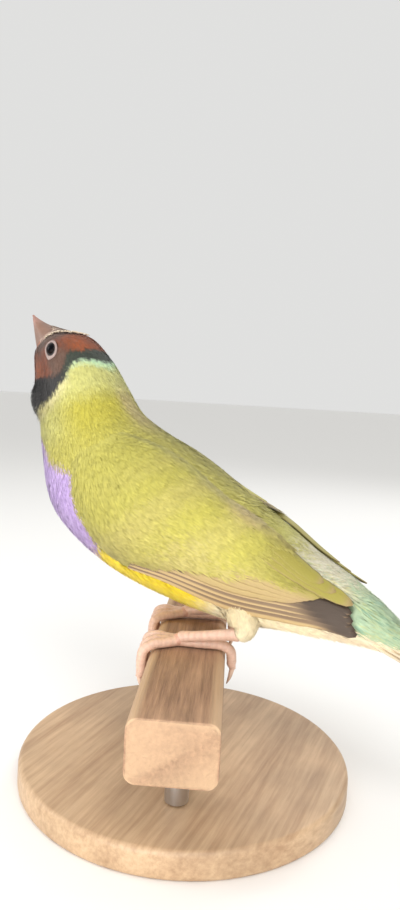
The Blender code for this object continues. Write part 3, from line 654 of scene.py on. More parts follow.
# Barbs in a tuft, and the most tufts in a piece, which keep a piece under 200,000 triangles
STRANDS = 5
MOST_TUFTS = 7900
MOST_BODY_TUFTS = 60000
TUFT_WANDER = 0.05
# Painted shade: the skin takes the plumage's colours darkened, as it lies in the shade of the coat
SKIN_PAINTED_SHADE = 0.85
# Tufts per square millimetre: over the body for a tuft a millimetre long, and on the wings, thighs and brow
BODY_DENSITY = 62.0
WING_DENSITY = 4.2
THIGH_DENSITY = 6.0
BROW_DENSITY = 26.0


def coat(name, surface, roots, spots, look, colour, draw):
    """Tufts of barbs in one mesh.

    surface(u, v, height) is in millimetres. The look gives each tuft's length, depth of root, lift, spread
    and flow. A tuft's patch of the bake lies at its root's spot on the unwrap.
    """
    u, v = roots
    count = len(u)
    size = (count, STRANDS)
    small = 1e-3
    middle = surface(u, v, 0.0)
    step_u = np.linalg.norm(surface(u + small, v, 0.0) - middle, axis=-1)[:, None] / small
    step_v = np.linalg.norm(surface(u, v + small, 0.0) - middle, axis=-1)[:, None] / small
    fan = np.linspace(-1, 1, STRANDS)[None, :]
    length = look["length"][:, None]
    long = length * (1 - 0.22 * fan**2) * draw.uniform(0.82, 1.12, size)
    turn = look["flow"][:, None] + draw.normal(0, look["stray"], size)
    spread = fan * look["spread"] * length
    spread = spread + draw.normal(0, 0.05, size) * length
    wide = look["width"] * length * draw.uniform(0.75, 1.25, size)
    lift = look["lift"][:, None] * draw.uniform(0.0, 1.0, size)
    twist = draw.uniform(-0.13, 0.13, size)
    points = np.empty(size + (len(BARB), 3))
    bake = np.empty(size + (len(BARB), 2))
    for number, (part, share, side) in enumerate(BARB):
        width = wide * share
        along = long * part
        across = spread * part**0.85 + side * width
        ahead = along * np.cos(turn) - across * np.sin(turn)
        place_u = u[:, None] + ahead / step_u * look["sense"]
        place_v = v[:, None] + (along * np.sin(turn) + across * np.cos(turn)) / step_v
        height = look["level"][:, None] - look["root"] * (1 - part) ** 1.3 + lift * part**2
        height = height + twist * side * width - 0.10 * fan**2 * part
        points[:, :, number] = surface(place_u, place_v, height)
        patch = np.stack(matched(fan * 0.4 + side * 0.1, part - 0.5), -1)
        bake[:, :, number] = spots[:, None] + BAKE_PATCH * patch
    first = np.arange(count * STRANDS)[:, None, None] * len(BARB)
    faces = (first + BARB_FACES).reshape(-1, 3)
    tint = np.ones(size + (len(BARB), 4))
    shade = draw.uniform(0.95, 1.05, (count, 1, 1, 1)) * draw.uniform(0.96, 1.04, size + (1, 1))
    # Each tuft's colour with a random tone, and painted shade towards the barbs' roots
    tint[..., :3] = np.clip(colour[:, None, None, :] * shade * BARB_PAINTED_SHADE[:, None], 0, 1)
    add_triangles(name, points.reshape(-1, 3), faces, tint.reshape(-1, 4), bake.reshape(-1, 2), PLUMAGE)


def add_triangles(name, points, faces, tint, bake, finish):
    """A piece from arrays of points in millimetres and triangles."""
    mesh = bpy.data.meshes.new(name)
    mesh.vertices.add(len(points))
    mesh.vertices.foreach_set("co", in_row(points).astype(np.float32).ravel())
    mesh.loops.add(faces.size)
    mesh.loops.foreach_set("vertex_index", faces.astype(np.int32).ravel())
    mesh.polygons.add(len(faces))
    mesh.polygons.foreach_set("loop_start", np.arange(0, faces.size, 3, dtype=np.int32))
    mesh.update(calc_edges=True)
    layer = mesh.uv_layers.new(name="OFBake")
    layer.data.foreach_set("uv", bake[faces.ravel()].astype(np.float32).ravel())
    colours = mesh.color_attributes.new(name="tint", type="FLOAT_COLOR", domain="POINT")
    colours.data.foreach_set("color", tint.astype(np.float32).ravel())
    dress(name, mesh, finish)


def body_look(place, angle, draw, count):
    """Length, depth and lie of the body's tufts at each root."""
    up = degrees_up(angle)
    length = np.interp(place, (-2.5, -1, 0, 1.5, 4, 5.5, 7, 8, 9, 10.5, 11.9),
                       (5.5, 5.5, 5.0, 4.6, 4.4, 3.8, 3.0, 2.2, 1.8, 1.35, 0.9))
    root = np.interp(length, (0.9, 1.35, 2.0, 4.1), (0.08, 0.18, 0.40, 0.90))[:, None]
    scruffy = rise(-5, -30, up) * rise(7.2, 7.7, place) * rise(9.4, 8.8, place)
    sunk = rise(2.7, 2.2, place) * rise(-0.6, 0.0, place) * rise(48, 62, up)
    chin = rise(-2, -22, up) * rise(9.0, 9.6, place)
    lift = np.interp(place, (-2.5, 0, 4, 7, 9, 12), (0.30, 0.32, 0.22, 0.20, 0.16, 0.10))
    lift = lift * rise(-60, 0, up + 30) + 0.08 + 0.9 * scruffy
    length = length * draw.uniform(0.8, 1.2, count)
    flow = draw.normal(0, 0.07, count) + 0.5 * scruffy * draw.normal(0, 1, count)
    level = -0.12 + 0.06 * draw.uniform(-1, 1, count) + 0.5 * scruffy + 0.45 * chin - 0.5 * sunk
    return dict(length=length, lift=lift, stray=0.06, spread=0.20, width=0.085, root=root, sense=-1.0,
                flow=flow, level=level - vent_tuck(place, angle))


def scatter(draw, surface, bounds, density, most):
    """Roots spread over a surface's own area, thicker where density (per square millimetre) says."""
    cells_u, cells_v = 160, 90
    edge_u = np.linspace(*bounds[0], cells_u + 1)
    edge_v = np.linspace(*bounds[1], cells_v + 1)
    grid = surface(*np.meshgrid(edge_u, edge_v, indexing="ij"), 0.0)
    side_u = grid[1:, :-1] - grid[:-1, :-1]
    side_v = grid[:-1, 1:] - grid[:-1, :-1]
    area = np.linalg.norm(np.cross(side_u, side_v), axis=-1)
    mid_u, mid_v = np.meshgrid((edge_u[1:] + edge_u[:-1]) / 2, (edge_v[1:] + edge_v[:-1]) / 2, indexing="ij")
    wanted = (area * density(mid_u, mid_v)).ravel()
    count = int(min(wanted.sum(), most))
    picked = draw.choice(len(wanted), count, p=wanted / wanted.sum())
    row, column = np.divmod(picked, cells_v)
    u = edge_u[row] + draw.uniform(0, 1, count) * (edge_u[1] - edge_u[0])
    v = edge_v[column] + draw.uniform(0, 1, count) * (edge_v[1] - edge_v[0])
    return u, v


def off_wing(place, angle):
    """1 where the body shows, 0 under the wings."""
    along, down = wing_place(np.asarray(place, float), np.asarray(angle, float))
    inside = rise(0.03, 0.08, along) * rise(1.02, 0.97, along)
    return 1 - inside * rise(0.03, 0.09, down) * rise(1.05, 1.00, down)


def eye_angle(side):
    return EYE_ANGLE if side > 0 else math.pi - EYE_ANGLE


def eye_clear(place, angle):
    """1 away from the eyes' bare rings."""
    clear = 1.0
    for side, _ in SIDES:
        middle = body_point(EYE_STATION + BARE_AHEAD, eye_angle(side), 0.0)
        apart = np.linalg.norm(body_point(place, angle, 0.0) - middle, axis=-1)
        clear = clear * rise(*BARE_RADII, apart)
    return clear


def vent_tuck(place, angle):
    """How far the plumage under the tail's root is drawn up."""
    drawn = np.interp(place, (-2.4, -1.5, -0.5, 0.6, 1.4, 2.0), (0.4, 0.9, 1.3, 1.6, 1.0, 0.0))
    return drawn * rise(-30, -60, degrees_up(angle))


def skin_grow(place, angle):
    """How much the skin is grown from the plumage's outer surface, negative because it lies below."""
    depth = np.interp(place, (-3, 0, 6, 9, 11, 12), (-0.5, -0.6, -0.55, -0.4, -0.25, -0.15))
    return depth - 1.9 * (1 - off_wing(place, angle)) - vent_tuck(place, angle)


def make_skin():
    """The flesh under the coat in one piece: the body, the arms of the wings and the shanks, in colours
    darkened by painted shade.
    """
    shape = bmesh.new()

    def body(along, across):
        place, angle = TAIL_PLACE + BODY_SPAN * along, UNDERSIDE + TURN * across
        return body_point(place, angle, skin_grow(place, angle))

    def body_tint(along, across):
        # The markings darkened by painted shade
        return markings(TAIL_PLACE + BODY_SPAN * along, UNDERSIDE + TURN * across) * SKIN_PAINTED_SHADE

    add_grid(shape, body, body_tint, 150, 88, wrap=True, caps=True)
    for side, _ in SIDES:
        def arm(along, across, side=side):
            turn = TURN * across
            down = 0.5 - 0.47 * np.cos(turn)
            thick = np.where(turn < np.pi, 1.0, 0.12) * ARM_THICKNESS * 0.62 * np.abs(np.sin(turn)) ** 0.4
            height = thick * rise(-0.02, 0.12, along) * (1 - 0.6 * rise(0.7, 1.0, along)) + 0.1
            return wing_point(side, 0.02 + (ARM_LENGTH + 0.06) * along, down, height)

        def shank(along, across, side=side):
            return thigh_point(side, along, TURN * across, -0.9 - 0.1 * along)

        add_grid(shape, arm, lambda a, b: np.array(OLIVE) * SKIN_PAINTED_SHADE, 40, 48, wrap=True, caps=True)
        add_grid(shape, shank, lambda a, b: np.array(CREAM) * SKIN_PAINTED_SHADE, 16, 24, wrap=True, caps=True)
    return finish_mesh("skin", shape, SKIN)


def body_zone(place, angle):
    """The name of the coat piece that a tuft belongs to."""
    up = degrees_up(angle)
    names = np.full(place.shape, "back", dtype=object)
    names[up < -20] = "belly"
    names[(up < 0) & (place > 4.2)] = "breast"
    names[place < 0.4] = "tail_coverts"
    names[place > 6.2] = "neck"
    names[place > 8.3] = "mask"
    return names


def body_coat():
    """The body's tufts, in a piece or more for each zone."""
    draw = np.random.default_rng(11)

    def density(place, angle):
        length = np.interp(place, (-3, 0, 4, 7, 8, 9, 10.5, 12), (5.5, 5, 4.4, 3, 2.2, 1.8, 1.35, 0.9))
        thick = BODY_DENSITY / np.maximum(length, 1.4)**2
        return thick * off_wing(place, angle) * eye_clear(place, angle)

    bounds = (-2.4, 11.88), (UNDERSIDE, UNDERSIDE + TURN)
    place, angle = scatter(draw, body_point, bounds, density, MOST_BODY_TUFTS)
    names = body_zone(place, angle)
    for title in sorted(set(names)):
        chosen = np.flatnonzero(names == title)
        for number in range(0, len(chosen), MOST_TUFTS):
            part = chosen[number:number + MOST_TUFTS]
            roots = place[part], angle[part]
            wander = draw.normal(0, TUFT_WANDER, len(part))
            coat("plumage_" + title + "_" + str(1 + number // MOST_TUFTS), body_point, roots, unwrap(*roots),
                 body_look(*roots, draw, len(part)), markings(*roots, wander), draw)


def coat_edge(along):
    """How far down the wing its small coverts and the inner vanes reach, above the primaries."""
    return np.interp(along, (0.30, 0.40, 0.46, 0.52, 0.66, 0.755, 0.86, 0.95, 1.0),
                     (1.05, 1.02, 0.90, 0.79, 0.67, 0.62, 0.48, 0.30, 0.20))


def wing_markings(along, down, wander):
    """The colour of the wing's coverts, with painted shade along the rear of their upper edge."""
    rows = 0.5 + 0.5 * np.sin(TURN * (6.5 * along + 0.8 * down + wander))
    low = rise(-0.22, 0.0, down - coat_edge(along)) * rise(0.42, 0.56, down)
    return WING_SHADE * laid(
        OLIVE,
        (YELLOW, 0.55 * rise(0.12, 0.45, along) * rise(0.10, 0.35, down) * rise(0.95, 0.6, down)),
        (TAN, 0.30 * rows * rise(0.05, 0.3, along) * rise(0.75, 0.5, along)),
        (TAN, 0.50 * rise(0.50, 0.85, down + 2 * wander) * rise(0.1, 0.5, along)),
        (PINKISH_TAN, 0.5 * np.exp(-(((along - 0.47) / 0.06) ** 2)) * rise(0.24, 0.06, down)),
        (TAN, 0.55 * rise(0.20, 0.0, down) * rise(0.3, 0.5, along)),
        (SECONDARY_TAN, 0.7 * low * rise(0.4, 0.6, along)),
        (TERTIAL_OLIVE, 0.85 * rise(0.45, 0.75, along) * rise(0.62, 0.42, down)),
        # Painted shade: a dark line along the rear of the wing's upper edge, where it meets the rump
        (PRIMARY_DARK, 0.35 * rise(0.05, 0.0, down) * rise(0.42, 0.52, along)))


def wing_top(along, down):
    """Height of the coat's surface off the wing's inner face."""
    rim = rise(-0.06, 0.14, down) * rise(1.06, 0.80, down) * rise(-0.06, 0.12, along)
    front = 1.75 + 0.95 * rim + 0.25 * rise(0.25, 0.45, along) * rim
    rear = 2.35 + (0.65 - 0.25 * rise(0.58, 0.70, along)) * rise(0.62, 0.40, down)
    return front + (rear - front) * rise(0.42, 0.68, along)


def wing_coat(side, word):
    """The small coverts of one wing, laid back along it."""
    draw = np.random.default_rng(21)

    def surface(along, down, height):
        top = wing_top(along, down)
        if side < 0:
            top = top - FAR_TERTIAL_SINK * rise(0.25, 0.5, along) * rise(0.48, 0.36, down)
        return wing_point(side, along, down, top + height)

    def density(along, down):
        inside = rise(0.0, -0.03, down - coat_edge(along + 0.09)) * rise(0.76, 0.62, along)
        if side < 0:
            inside = inside * (1 - rise(0.46, 0.56, along) * rise(0.42, 0.34, down))
        return WING_DENSITY * inside * (1 - 0.35 * rise(0.5, 0.8, along))

    along, down = scatter(draw, surface, ((0.0, 0.96), (0.005, 0.995)), density, MOST_TUFTS)
    count = len(along)
    length = np.interp(along, (0, 0.2, 0.5, 0.9), (3.6, 4.2, 5.0, 4.4)) * draw.uniform(0.8, 1.2, count)
    flow = draw.normal(0, 0.05, count) - 0.16 * rise(0.35, 0.6, along) * rise(0.4, 0.8, down)
    look = dict(length=length, lift=np.full(count, 0.12), stray=0.05, spread=0.17, width=0.075, root=0.6,
                sense=1.0, flow=flow, level=draw.uniform(-0.14, 0.02, count))
    spots = np.stack([0.02 + down * 0.96, along], -1)
    colour = wing_markings(along, down, draw.normal(0, TUFT_WANDER, count))
    coat("plumage_wing_" + word, surface, (along, down), spots, look, colour, draw)


# Flight feathers. Outlines of a vane: parts of its length, and parts of its half width
VANE_OUTLINE = (
    (0.0, 0.35), (0.12, 0.85), (0.3, 1.0), (0.6, 1.0), (0.8, 0.97), (0.92, 0.8), (0.975, 0.5), (1.0, 0.1))
PRIMARY_OUTLINE = (
    (0.0, 0.35), (0.12, 0.85), (0.3, 1.0), (0.8, 1.0),
    (0.92, 0.98), (0.965, 0.85), (0.99, 0.55), (1.0, 0.15))
COVERT_OUTLINE = ((0.0, 0.5), (0.3, 0.95), (0.6, 1.0), (0.82, 0.82), (0.94, 0.5), (1.0, 0.08))
OUTLINES = {"primary": PRIMARY_OUTLINE, "greater_covert": COVERT_OUTLINE}
LOW_PRIMARY_LIFT = 0.7
FAR_TERTIAL_LEAN = 0.8
FAR_TERTIAL_SINK = 0.7
COVERT_SINK = 0.75
VANE_THICKNESS = 0.14
VANE_CROWN = 0.14
VANE_OVERLAP = 0.78
SHAFT_HEIGHT = 0.06
NOTCHES = 5
NOTCH_WIDTH = 0.012
NOTCH_DEPTH = 0.10
# The wing's depth in millimetres at parts of its length
WING_CHORD = ((0, 0.3, 0.6, 0.85, 1.0), (18.0, 29.0, 20.0, 11.5, 7.5))
# Tiers: count, first and last root, first and last tip (along, down), height, height of the root, least half
# width, and the rise from the middle of a vane to its lower edge
TIERS = {
    "primary": (6, (0.34, 0.84), (0.33, 0.975), (0.970, 0.40), (1.008, 0.89), 1.60, 1.4, 1.5, 0.26),
    "secondary": (7, (0.34, 0.40), (0.34, 0.86), (0.90, 0.28), (0.79, 0.60), 2.05, 1.1, 1.6, 0.20),
    "tertial": (3, (0.34, 0.08), (0.34, 0.32), (0.84, 0.12), (0.972, 0.20), 2.40, 1.4, 2.1, 0.24),
    "greater_covert": (12, (0.22, 0.06), (0.22, 0.93), (0.52, 0.08), (0.36, 0.93), 2.40, 1.4, 1.3, 0.16),
}


def vane_tint(kind, part, along, down, across, level):
    """Colour of a flight feather at a part of its length and across it, paler on its lower edge, with
    painted shade along a tertial's upper edge.
    """
    edge = rise(0.35, 0.75, across)
    if kind == "primary":
        dark = rise(0.0, 0.10, along - 0.71 - 0.15 * level**1.5)
        return laid(
            mix(PRIMARY_TAN, PRIMARY_DARK, 0.5),
            (PRIMARY_DARK, dark),
            (PRIMARY_EDGE, 0.9 * rise(0.10, 0.40, across) * (1 - dark)),
            (PRIMARY_TAN, 0.45 * edge * dark * rise(1.02, 0.94, along)))
    if kind == "secondary":
        return laid(
            OLIVE,
            (TERTIAL_OLIVE, 0.35 + 0.5 * rise(0.60, 0.85, along)),
            (SECONDARY_TAN, rise(0.40, 0.60, down)),
            (PRIMARY_TAN, 0.6 * rise(0.85, 1.0, part) * rise(0.45, 0.6, down)),
            (PRIMARY_TAN, 0.25 * edge))
    if kind == "tertial":
        # Painted shade: upper marks a dark line along the tertials' upper edge, where the wing meets the
        # rump
        upper = rise(-0.70, -0.98, across) * rise(0.45, 0.55, along)
        lower = rise(0.80, 0.95, across) * rise(0.50, 0.62, along)
        return laid(
            OLIVE,
            (TERTIAL_OLIVE, 0.6 + 0.4 * rise(0.40, 0.62, along)),
            (PRIMARY_TAN, 0.7 * rise(0.93, 1.0, part)),
            (PRIMARY_DARK, 0.55 * (1 - level) * upper),
            (PRIMARY_TAN, (0.15 + 0.35 * level) * lower))
    return WING_SHADE * laid(OLIVE, (TERTIAL_OLIVE, 0.35), (TAN, 0.45 * rise(0.3, 0.9, down)))


def bake_cell(number, columns, pitch, size):
    """A feather's own patch of the bake, and the shift that sets its barbs apart from the others."""
    return (0.01 + number % columns * pitch[0], 0.01 + number // columns * pitch[1], number * 7.0, *size)


def wing_feathers(side, word):
    """Every flight feather and greater covert of one wing in one piece."""
    shape = bmesh.new()
    draw = np.random.default_rng(31)
    cells = 0
    for kind, tier in TIERS.items():
        count, first_root, last_root, first_tip, last_tip, height, root_height, least, tilt = tier
        outline = np.array(OUTLINES.get(kind, VANE_OUTLINE))
        for number in range(count):
            level = number / (count - 1)
            root = np.array(first_root) * (1 - level) + np.array(last_root) * level
            tip = np.array(first_tip) * (1 - level) + np.array(last_tip) * level
            tip[0] += draw.uniform(-0.006, 0.006)
            notches = draw.uniform(0, 1, NOTCHES)
            root_space = abs(last_root[1] - first_root[1])
            tip_space = abs(last_tip[1] - first_tip[1])

            def track(part, across_all):
                along = root[0] + (tip[0] - root[0]) * part
                chord = np.interp(along, *WING_CHORD)
                gap = (root_space + (tip_space - root_space) * part) / (count - 1) * chord
                half = np.maximum(gap * VANE_OVERLAP, least * (0.5 + 0.5 * rise(0, 0.5, part)))
                half = half * np.interp(part, outline[:, 0], outline[:, 1])
                torn = sum(np.exp(-((part - notch) / NOTCH_WIDTH) ** 2) for notch in notches)
                half = half * (1 - NOTCH_DEPTH * torn * (np.abs(across_all) > 0.8))
                down = root[1] + (tip[1] - root[1]) * part + across_all * half / chord
                return along, down

            def place(part, across):
                across_all = across * 2 - 1
                along, down = track(part, across_all)
                lift = root_height + (height - root_height) * rise(0, 0.45, part)
                shaft = SHAFT_HEIGHT * np.exp(-((across_all + 0.25) / 0.10) ** 2)
                lean = tilt
                if kind == "primary":
                    lift = lift + LOW_PRIMARY_LIFT * level
                if kind == "tertial" and side < 0:
                    lean = FAR_TERTIAL_LEAN * np.interp(part, outline[:, 0], outline[:, 1])
                    lift = lift - FAR_TERTIAL_SINK * rise(0, 0.45, part)
                if kind == "greater_covert":
                    lift = wing_top(along, down) - COVERT_SINK
                rib = lift + lean * across_all + VANE_CROWN * (1 - across_all**2) + shaft
                return wing_point(side, along, np.clip(down, -0.02, 1.02), rib)

            def tint(part, across):
                along, down = track(part, across * 2 - 1)
                return vane_tint(kind, part, along, down, across * 2 - 1, level)

            cell = bake_cell(cells, 6, (0.165, 0.16), (0.15, 0.145))
            add_grid(shape, place, tint, 40, 12, thickness=VANE_THICKNESS, cell=cell)
            cells += 1
    return finish_mesh("wing_feathers_" + word, shape, VANES)


# Tail feathers from the middle out: length, root and tip off the middle, and half width
TAIL_LEAN = math.radians(19)
QUILLS = (
    (51.0, 0.55, 0.75, 1.9), (35.0, 1.4, 2.3, 2.2), (34.0, 2.0, 3.2, 2.2),
    (33.0, 2.6, 4.1, 2.2), (32.0, 3.2, 5.0, 2.2), (30.5, 3.8, 5.9, 2.1))
QUILL_START = 6.0
QUILL_HEIGHT = 1.8
QUILL_STEP = 0.56
QUILL_SLANT = 0.18
QUILL_CROWN = 0.12
PIN_OUTLINE = ((0.0, 0.8), (0.3, 1.0), (0.5, 0.85), (0.68, 0.5), (0.84, 0.3), (1.0, 0.1))


def tail_point(back, sideways, up):
    """Points measured back along the tail from its root."""
    line = np.array([0.0, math.cos(TAIL_LEAN), -math.sin(TAIL_LEAN)])
    upward = np.array([0.0, math.sin(TAIL_LEAN), math.cos(TAIL_LEAN)])
    back, sideways, up = columns(back, sideways, up)
    return np.array(TAIL_ROOT[:3]) + line * back + np.array([1.0, 0, 0]) * sideways + upward * up


def tail_feathers():
    """The two long pins and five pairs of shorter feathers under them, in one piece."""
    shape = bmesh.new()
    draw = np.random.default_rng(41)
    for number, (length, root_side, tip_side, half) in enumerate(QUILLS):
        outline = np.array(PIN_OUTLINE if number == 0 else VANE_OUTLINE)
        for index, (side, _) in enumerate(SIDES):
            reach = length + draw.uniform(-0.5, 0.5)

            def place(part, across):
                across_all = across * 2 - 1
                width = half * np.interp(part, outline[:, 0], outline[:, 1])
                sideways = root_side + (tip_side - root_side) * part + across_all * width
                up = QUILL_HEIGHT - QUILL_STEP * number - QUILL_SLANT * (across_all + 1)
                up = up + QUILL_CROWN * (1 - across_all**2)
                return tail_point(QUILL_START + (reach - QUILL_START) * part, side * sideways, up)

            def tint(part, across):
                colour = mix(MINT if number < 3 else VENT_WHITE, TAIL_DARK, rise(0.25, 0.6, part))
                return mix(colour, PRIMARY_TAN, 0.4 * rise(0.9, 1.0, across))

            cell = bake_cell(2 * number + index, 4, (0.245, 0.32), (0.22, 0.28))
            add_grid(shape, place, tint, 40, 10, thickness=VANE_THICKNESS, cell=cell)
    return finish_mesh("tail_feathers", shape, VANES)


# Legs
def on_perch(along, across, up):
    """A point measured along and across the perch from the middle of its top."""
    return np.array([math.cos(PERCH_TURN) * along - math.sin(PERCH_TURN) * across,
                     math.sin(PERCH_TURN) * along + math.cos(PERCH_TURN) * across, up])


def leg_line(side):
    """The ends of the bare leg: the ankle on the perch and the heel under the belly."""
    ankle = on_perch(FOOT_ALONG * side, FOOT_ACROSS + ANKLE_BACK, TOE_RADIUS + GAP + ANKLE_RISE)
    return ankle, np.array([HEEL[0] * side, HEEL[1], HEEL[2]])


def thigh_point(side, along, around, grow):
    """The feathered shank: along it from the heel at 0 to the belly at 1."""
    ankle, heel = leg_line(side)
    line = unit(heel - ankle)
    path = [heel + line * GAP + np.array([out * side, back, up]) for out, back, up in THIGH_STEPS]
    return sweep_point(np.array(path), np.array(THIGH_RADII), along, around, grow)


def sweep_point(path, radii, along, around, grow):
    """The surface of a round limb through a path."""
    along, around, grow = matched(along, around, grow)
    table = np.concatenate([path, radii[:, None]], 1)
    last = len(path) - 1
    here = read_along(table, np.clip(along, 0, 1) * last)
    ahead = read_along(table, np.clip(along + 0.01, 0.01, 1) * last)
    behind = read_along(table, np.clip(along - 0.01, 0, 0.99) * last)
    line = unit(ahead[..., :3] - behind[..., :3])
    first = unit(np.cross(line, on_perch(1.0, 0.0, 0.0)))
    radius = here[..., 3] + grow
    return here[..., :3] + round_of(first, np.cross(line, first), around) * radius[..., None]


def thigh_coat(side, word):
    """The loose cream feathers of one shank."""
    draw = np.random.default_rng(51)

    def surface(along, around, height):
        return thigh_point(side, along, around, height)

    along, around = scatter(draw, surface, ((0.02, 1.0), (0.0, TURN)), lambda a, b: THIGH_DENSITY, 2600)
    count = len(along)
    look = dict(length=draw.uniform(1.8, 3.0, count), lift=np.full(count, 0.3), stray=0.12, spread=0.22,
                width=0.10, root=0.4, sense=-1.0, flow=draw.normal(0, 0.14, count),
                level=draw.uniform(-0.25, 0.0, count))
    colour = mix(THIGH_CREAM, THIGH_WHITE, rise(0.8, 0.0, along))
    spots = np.stack([around / TURN, along], -1)
    coat("plumage_thigh_" + word, surface, (along, around), spots, look, colour, draw)


LEG_PINK = np.array((0.60, 0.34, 0.25))
LEG_PALE = np.array((0.70, 0.50, 0.38))
CLAW_PALE = np.array((0.42, 0.28, 0.20))


def toe_path(along, spread, reach, drop):
    """The line of a toe over the perch's edge, forward or back by the sign of its reach, and of its claw."""
    clear = TOE_RADIUS + GAP
    edge = PERCH_WIDTH / 2 * reach
    lean = spread / (edge - FOOT_ACROSS)
    path = ((FOOT_ACROSS, clear + 0.2), ((FOOT_ACROSS + edge) / 2, clear)) + tuple(
        (edge + out * reach, up) for out, up in (
            (-1.2, clear), (0.9, clear - 1.0), (clear + 0.1, -1.8), (clear + 0.1, -drop),
            (clear + 0.5, -drop - 1.2), (clear - 0.1, -drop - 3.0), (clear - 0.7, -drop - 4.6)))
    return np.array([on_perch(along + lean * (place - FOOT_ACROSS), place, up) for place, up in path])


def scaly(path, radii, scutes):
    """The surface and tint of a limb with overlapping scutes along it, thicker on one side."""
    def place(along, across):
        around = TURN * across
        saw = (along * scutes) % 1.0
        plate = 0.035 * (1 - saw) * (0.4 + 0.6 * rise(-0.4, 0.5, np.cos(around)))
        return sweep_point(path, radii, along, around, plate - 0.04)

    def tint(along, across):
        saw = (along * scutes) % 1.0
        return mix(LEG_PINK, LEG_PALE, 0.40 + 0.25 * rise(0.9, 0.3, saw))

    return place, tint


def legs(side, word):
    """One foot with its scales, claws and ball, and its bare leg."""
    flesh = bmesh.new()
    claws = bmesh.new()
    for spread, reach, drop in TOES:
        path = toe_path(FOOT_ALONG * side, spread * side, reach, drop)
        radii = np.append(np.array(TOE_RADII) * TOE_FULLNESS, TOE_END)
        place, tint = scaly(path[:7], radii, 16)
        add_grid(flesh, place, tint, 96, 16, wrap=True, caps=True)
        nail = path[6:].copy()
        nail[0] += (path[5] - path[6]) * 0.3

        def claw(along, across, nail=nail):
            return sweep_point(nail, np.array(CLAW_RADII), along, TURN * across, 0.0)

        def horn(along, across):
            return mix(LEG_PALE, CLAW_PALE, rise(0.1, 0.9, along))

        add_grid(claws, claw, horn, 20, 12, wrap=True, caps=True)
    pad = on_perch(FOOT_ALONG * side, FOOT_ACROSS, TOE_RADIUS + GAP + BALL_RISE)

    def ball(along, across):
        tilt = np.pi * (along - 0.5)
        ring = np.cos(tilt) * BALL_RADIUS
        turn = TURN * across
        return pad + np.stack([ring * np.cos(turn), ring * np.sin(turn), BALL_HEIGHT * np.sin(tilt)], -1)

    add_grid(flesh, ball, lambda a, b: LEG_PINK, 16, 24, wrap=True)
    foot = finish_mesh("foot_scales_" + word, flesh, LEG_SKIN)
    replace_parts(foot, "foot_" + word)
    finish_mesh("claws_" + word, claws, CLAW_HORN)
    shank = bmesh.new()
    ankle, heel = leg_line(side)
    parts, radii = np.transpose(LEG_STEPS)
    place, tint = scaly(ankle + (heel - ankle) * parts[:, None], radii, 15)
    add_grid(shank, place, tint, 120, 20, wrap=True, caps=True)
    leg = finish_mesh("leg_scales_" + word, shank, LEG_SKIN)
    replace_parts(leg, "leg_" + word)


# Head
LID_PALE = (0.33, 0.245, 0.22)
LID_DARK = (0.10, 0.07, 0.06)
BILL_BASE = (0.20, 0.113, 0.080)
BILL_SIDE = (0.235, 0.126, 0.085)
BILL_RED = (0.38, 0.20, 0.16)
SHEATH_PALE = (0.70, 0.58, 0.43)
# Painted shade in the nostrils' pits, standing in for their openings
NOSTRIL_PAINTED_SHADE = (0.12, 0.06, 0.05)
PUPIL_BLACK = (0.003, 0.003, 0.004)
IRIS_DARK = (0.010, 0.006, 0.005)
BROW_FLARE = 0.75
# Rows of pin feathers: place on the head, angle round it, and how far back the row runs
PINS = (
    (11.85, 26, 0.1), (11.85, 40, 0.1), (11.8, 54, 0.15), (11.6, 63, 0.4), (11.3, 72, 0.6),
    (11.0, 80, 0.7), (11.7, 120, 0.5), (11.3, 110, 0.6), (11.5, 140, 0.3))
PINS_EACH = 4


def bill_point(along, turn, upper):
    """The surface of the upper or the lower half: along from the root, and turned from its left side."""
    part = along / (BILL_LENGTH * (1.0 if upper else JAW_LENGTH))
    mouth = -math.tan(MOUTH_ANGLE) * along - MOUTH_DROOP * (along / BILL_LENGTH) ** 3
    wide = BILL_HALF_WIDTH * (1 - part**BILL_CURVE) + BILL_TIP_RADIUS
    if upper:
        high = CULMEN_HEIGHT * np.clip(1 - part, 0, 1) ** CULMEN_CURVE + BILL_TIP_RADIUS
        ahead = ((along - NOSTRIL_ALONG) / NOSTRIL_LENGTH) ** 2
        pit = NOSTRIL_DEPTH * sum(np.exp(-(ahead + ((turn - each) / NOSTRIL_SPREAD) ** 2))
                                  for each in (NOSTRIL_ANGLE, math.pi - NOSTRIL_ANGLE))
        ridge = RIDGE_HEIGHT * np.exp(-((turn - math.pi / 2) / RIDGE_SPREAD) ** 2)
        keep = 1 - pit / 4.0
        up = (high * keep + ridge) * np.sin(turn)
        return from_head(along, wide * np.cos(turn) * keep, mouth + GAP / 2 + up)
    deep = JAW_DEPTH * (1 - part**JAW_CURVE) + BILL_TIP_RADIUS
    return from_head(along, wide * JAW_WIDTH * np.cos(turn), mouth - GAP / 2 - deep * np.sin(turn))


def brow_point(along, turn, height):
    """The bill's root all round, above from 0 to half a turn and below from there on, and its run back."""
    reach = np.maximum(along, 0.0)
    above = (turn <= math.pi)[..., None]
    found = np.where(above, bill_point(reach, turn, True), bill_point(reach, TURN - turn, False))
    out = unit(found - from_head(reach, 0.0, -0.5))
    forward = head_directions()[0]
    back = np.minimum(along, 0.0)
    return found + out * (height - BROW_FLARE * back)[..., None] + forward * back[..., None]


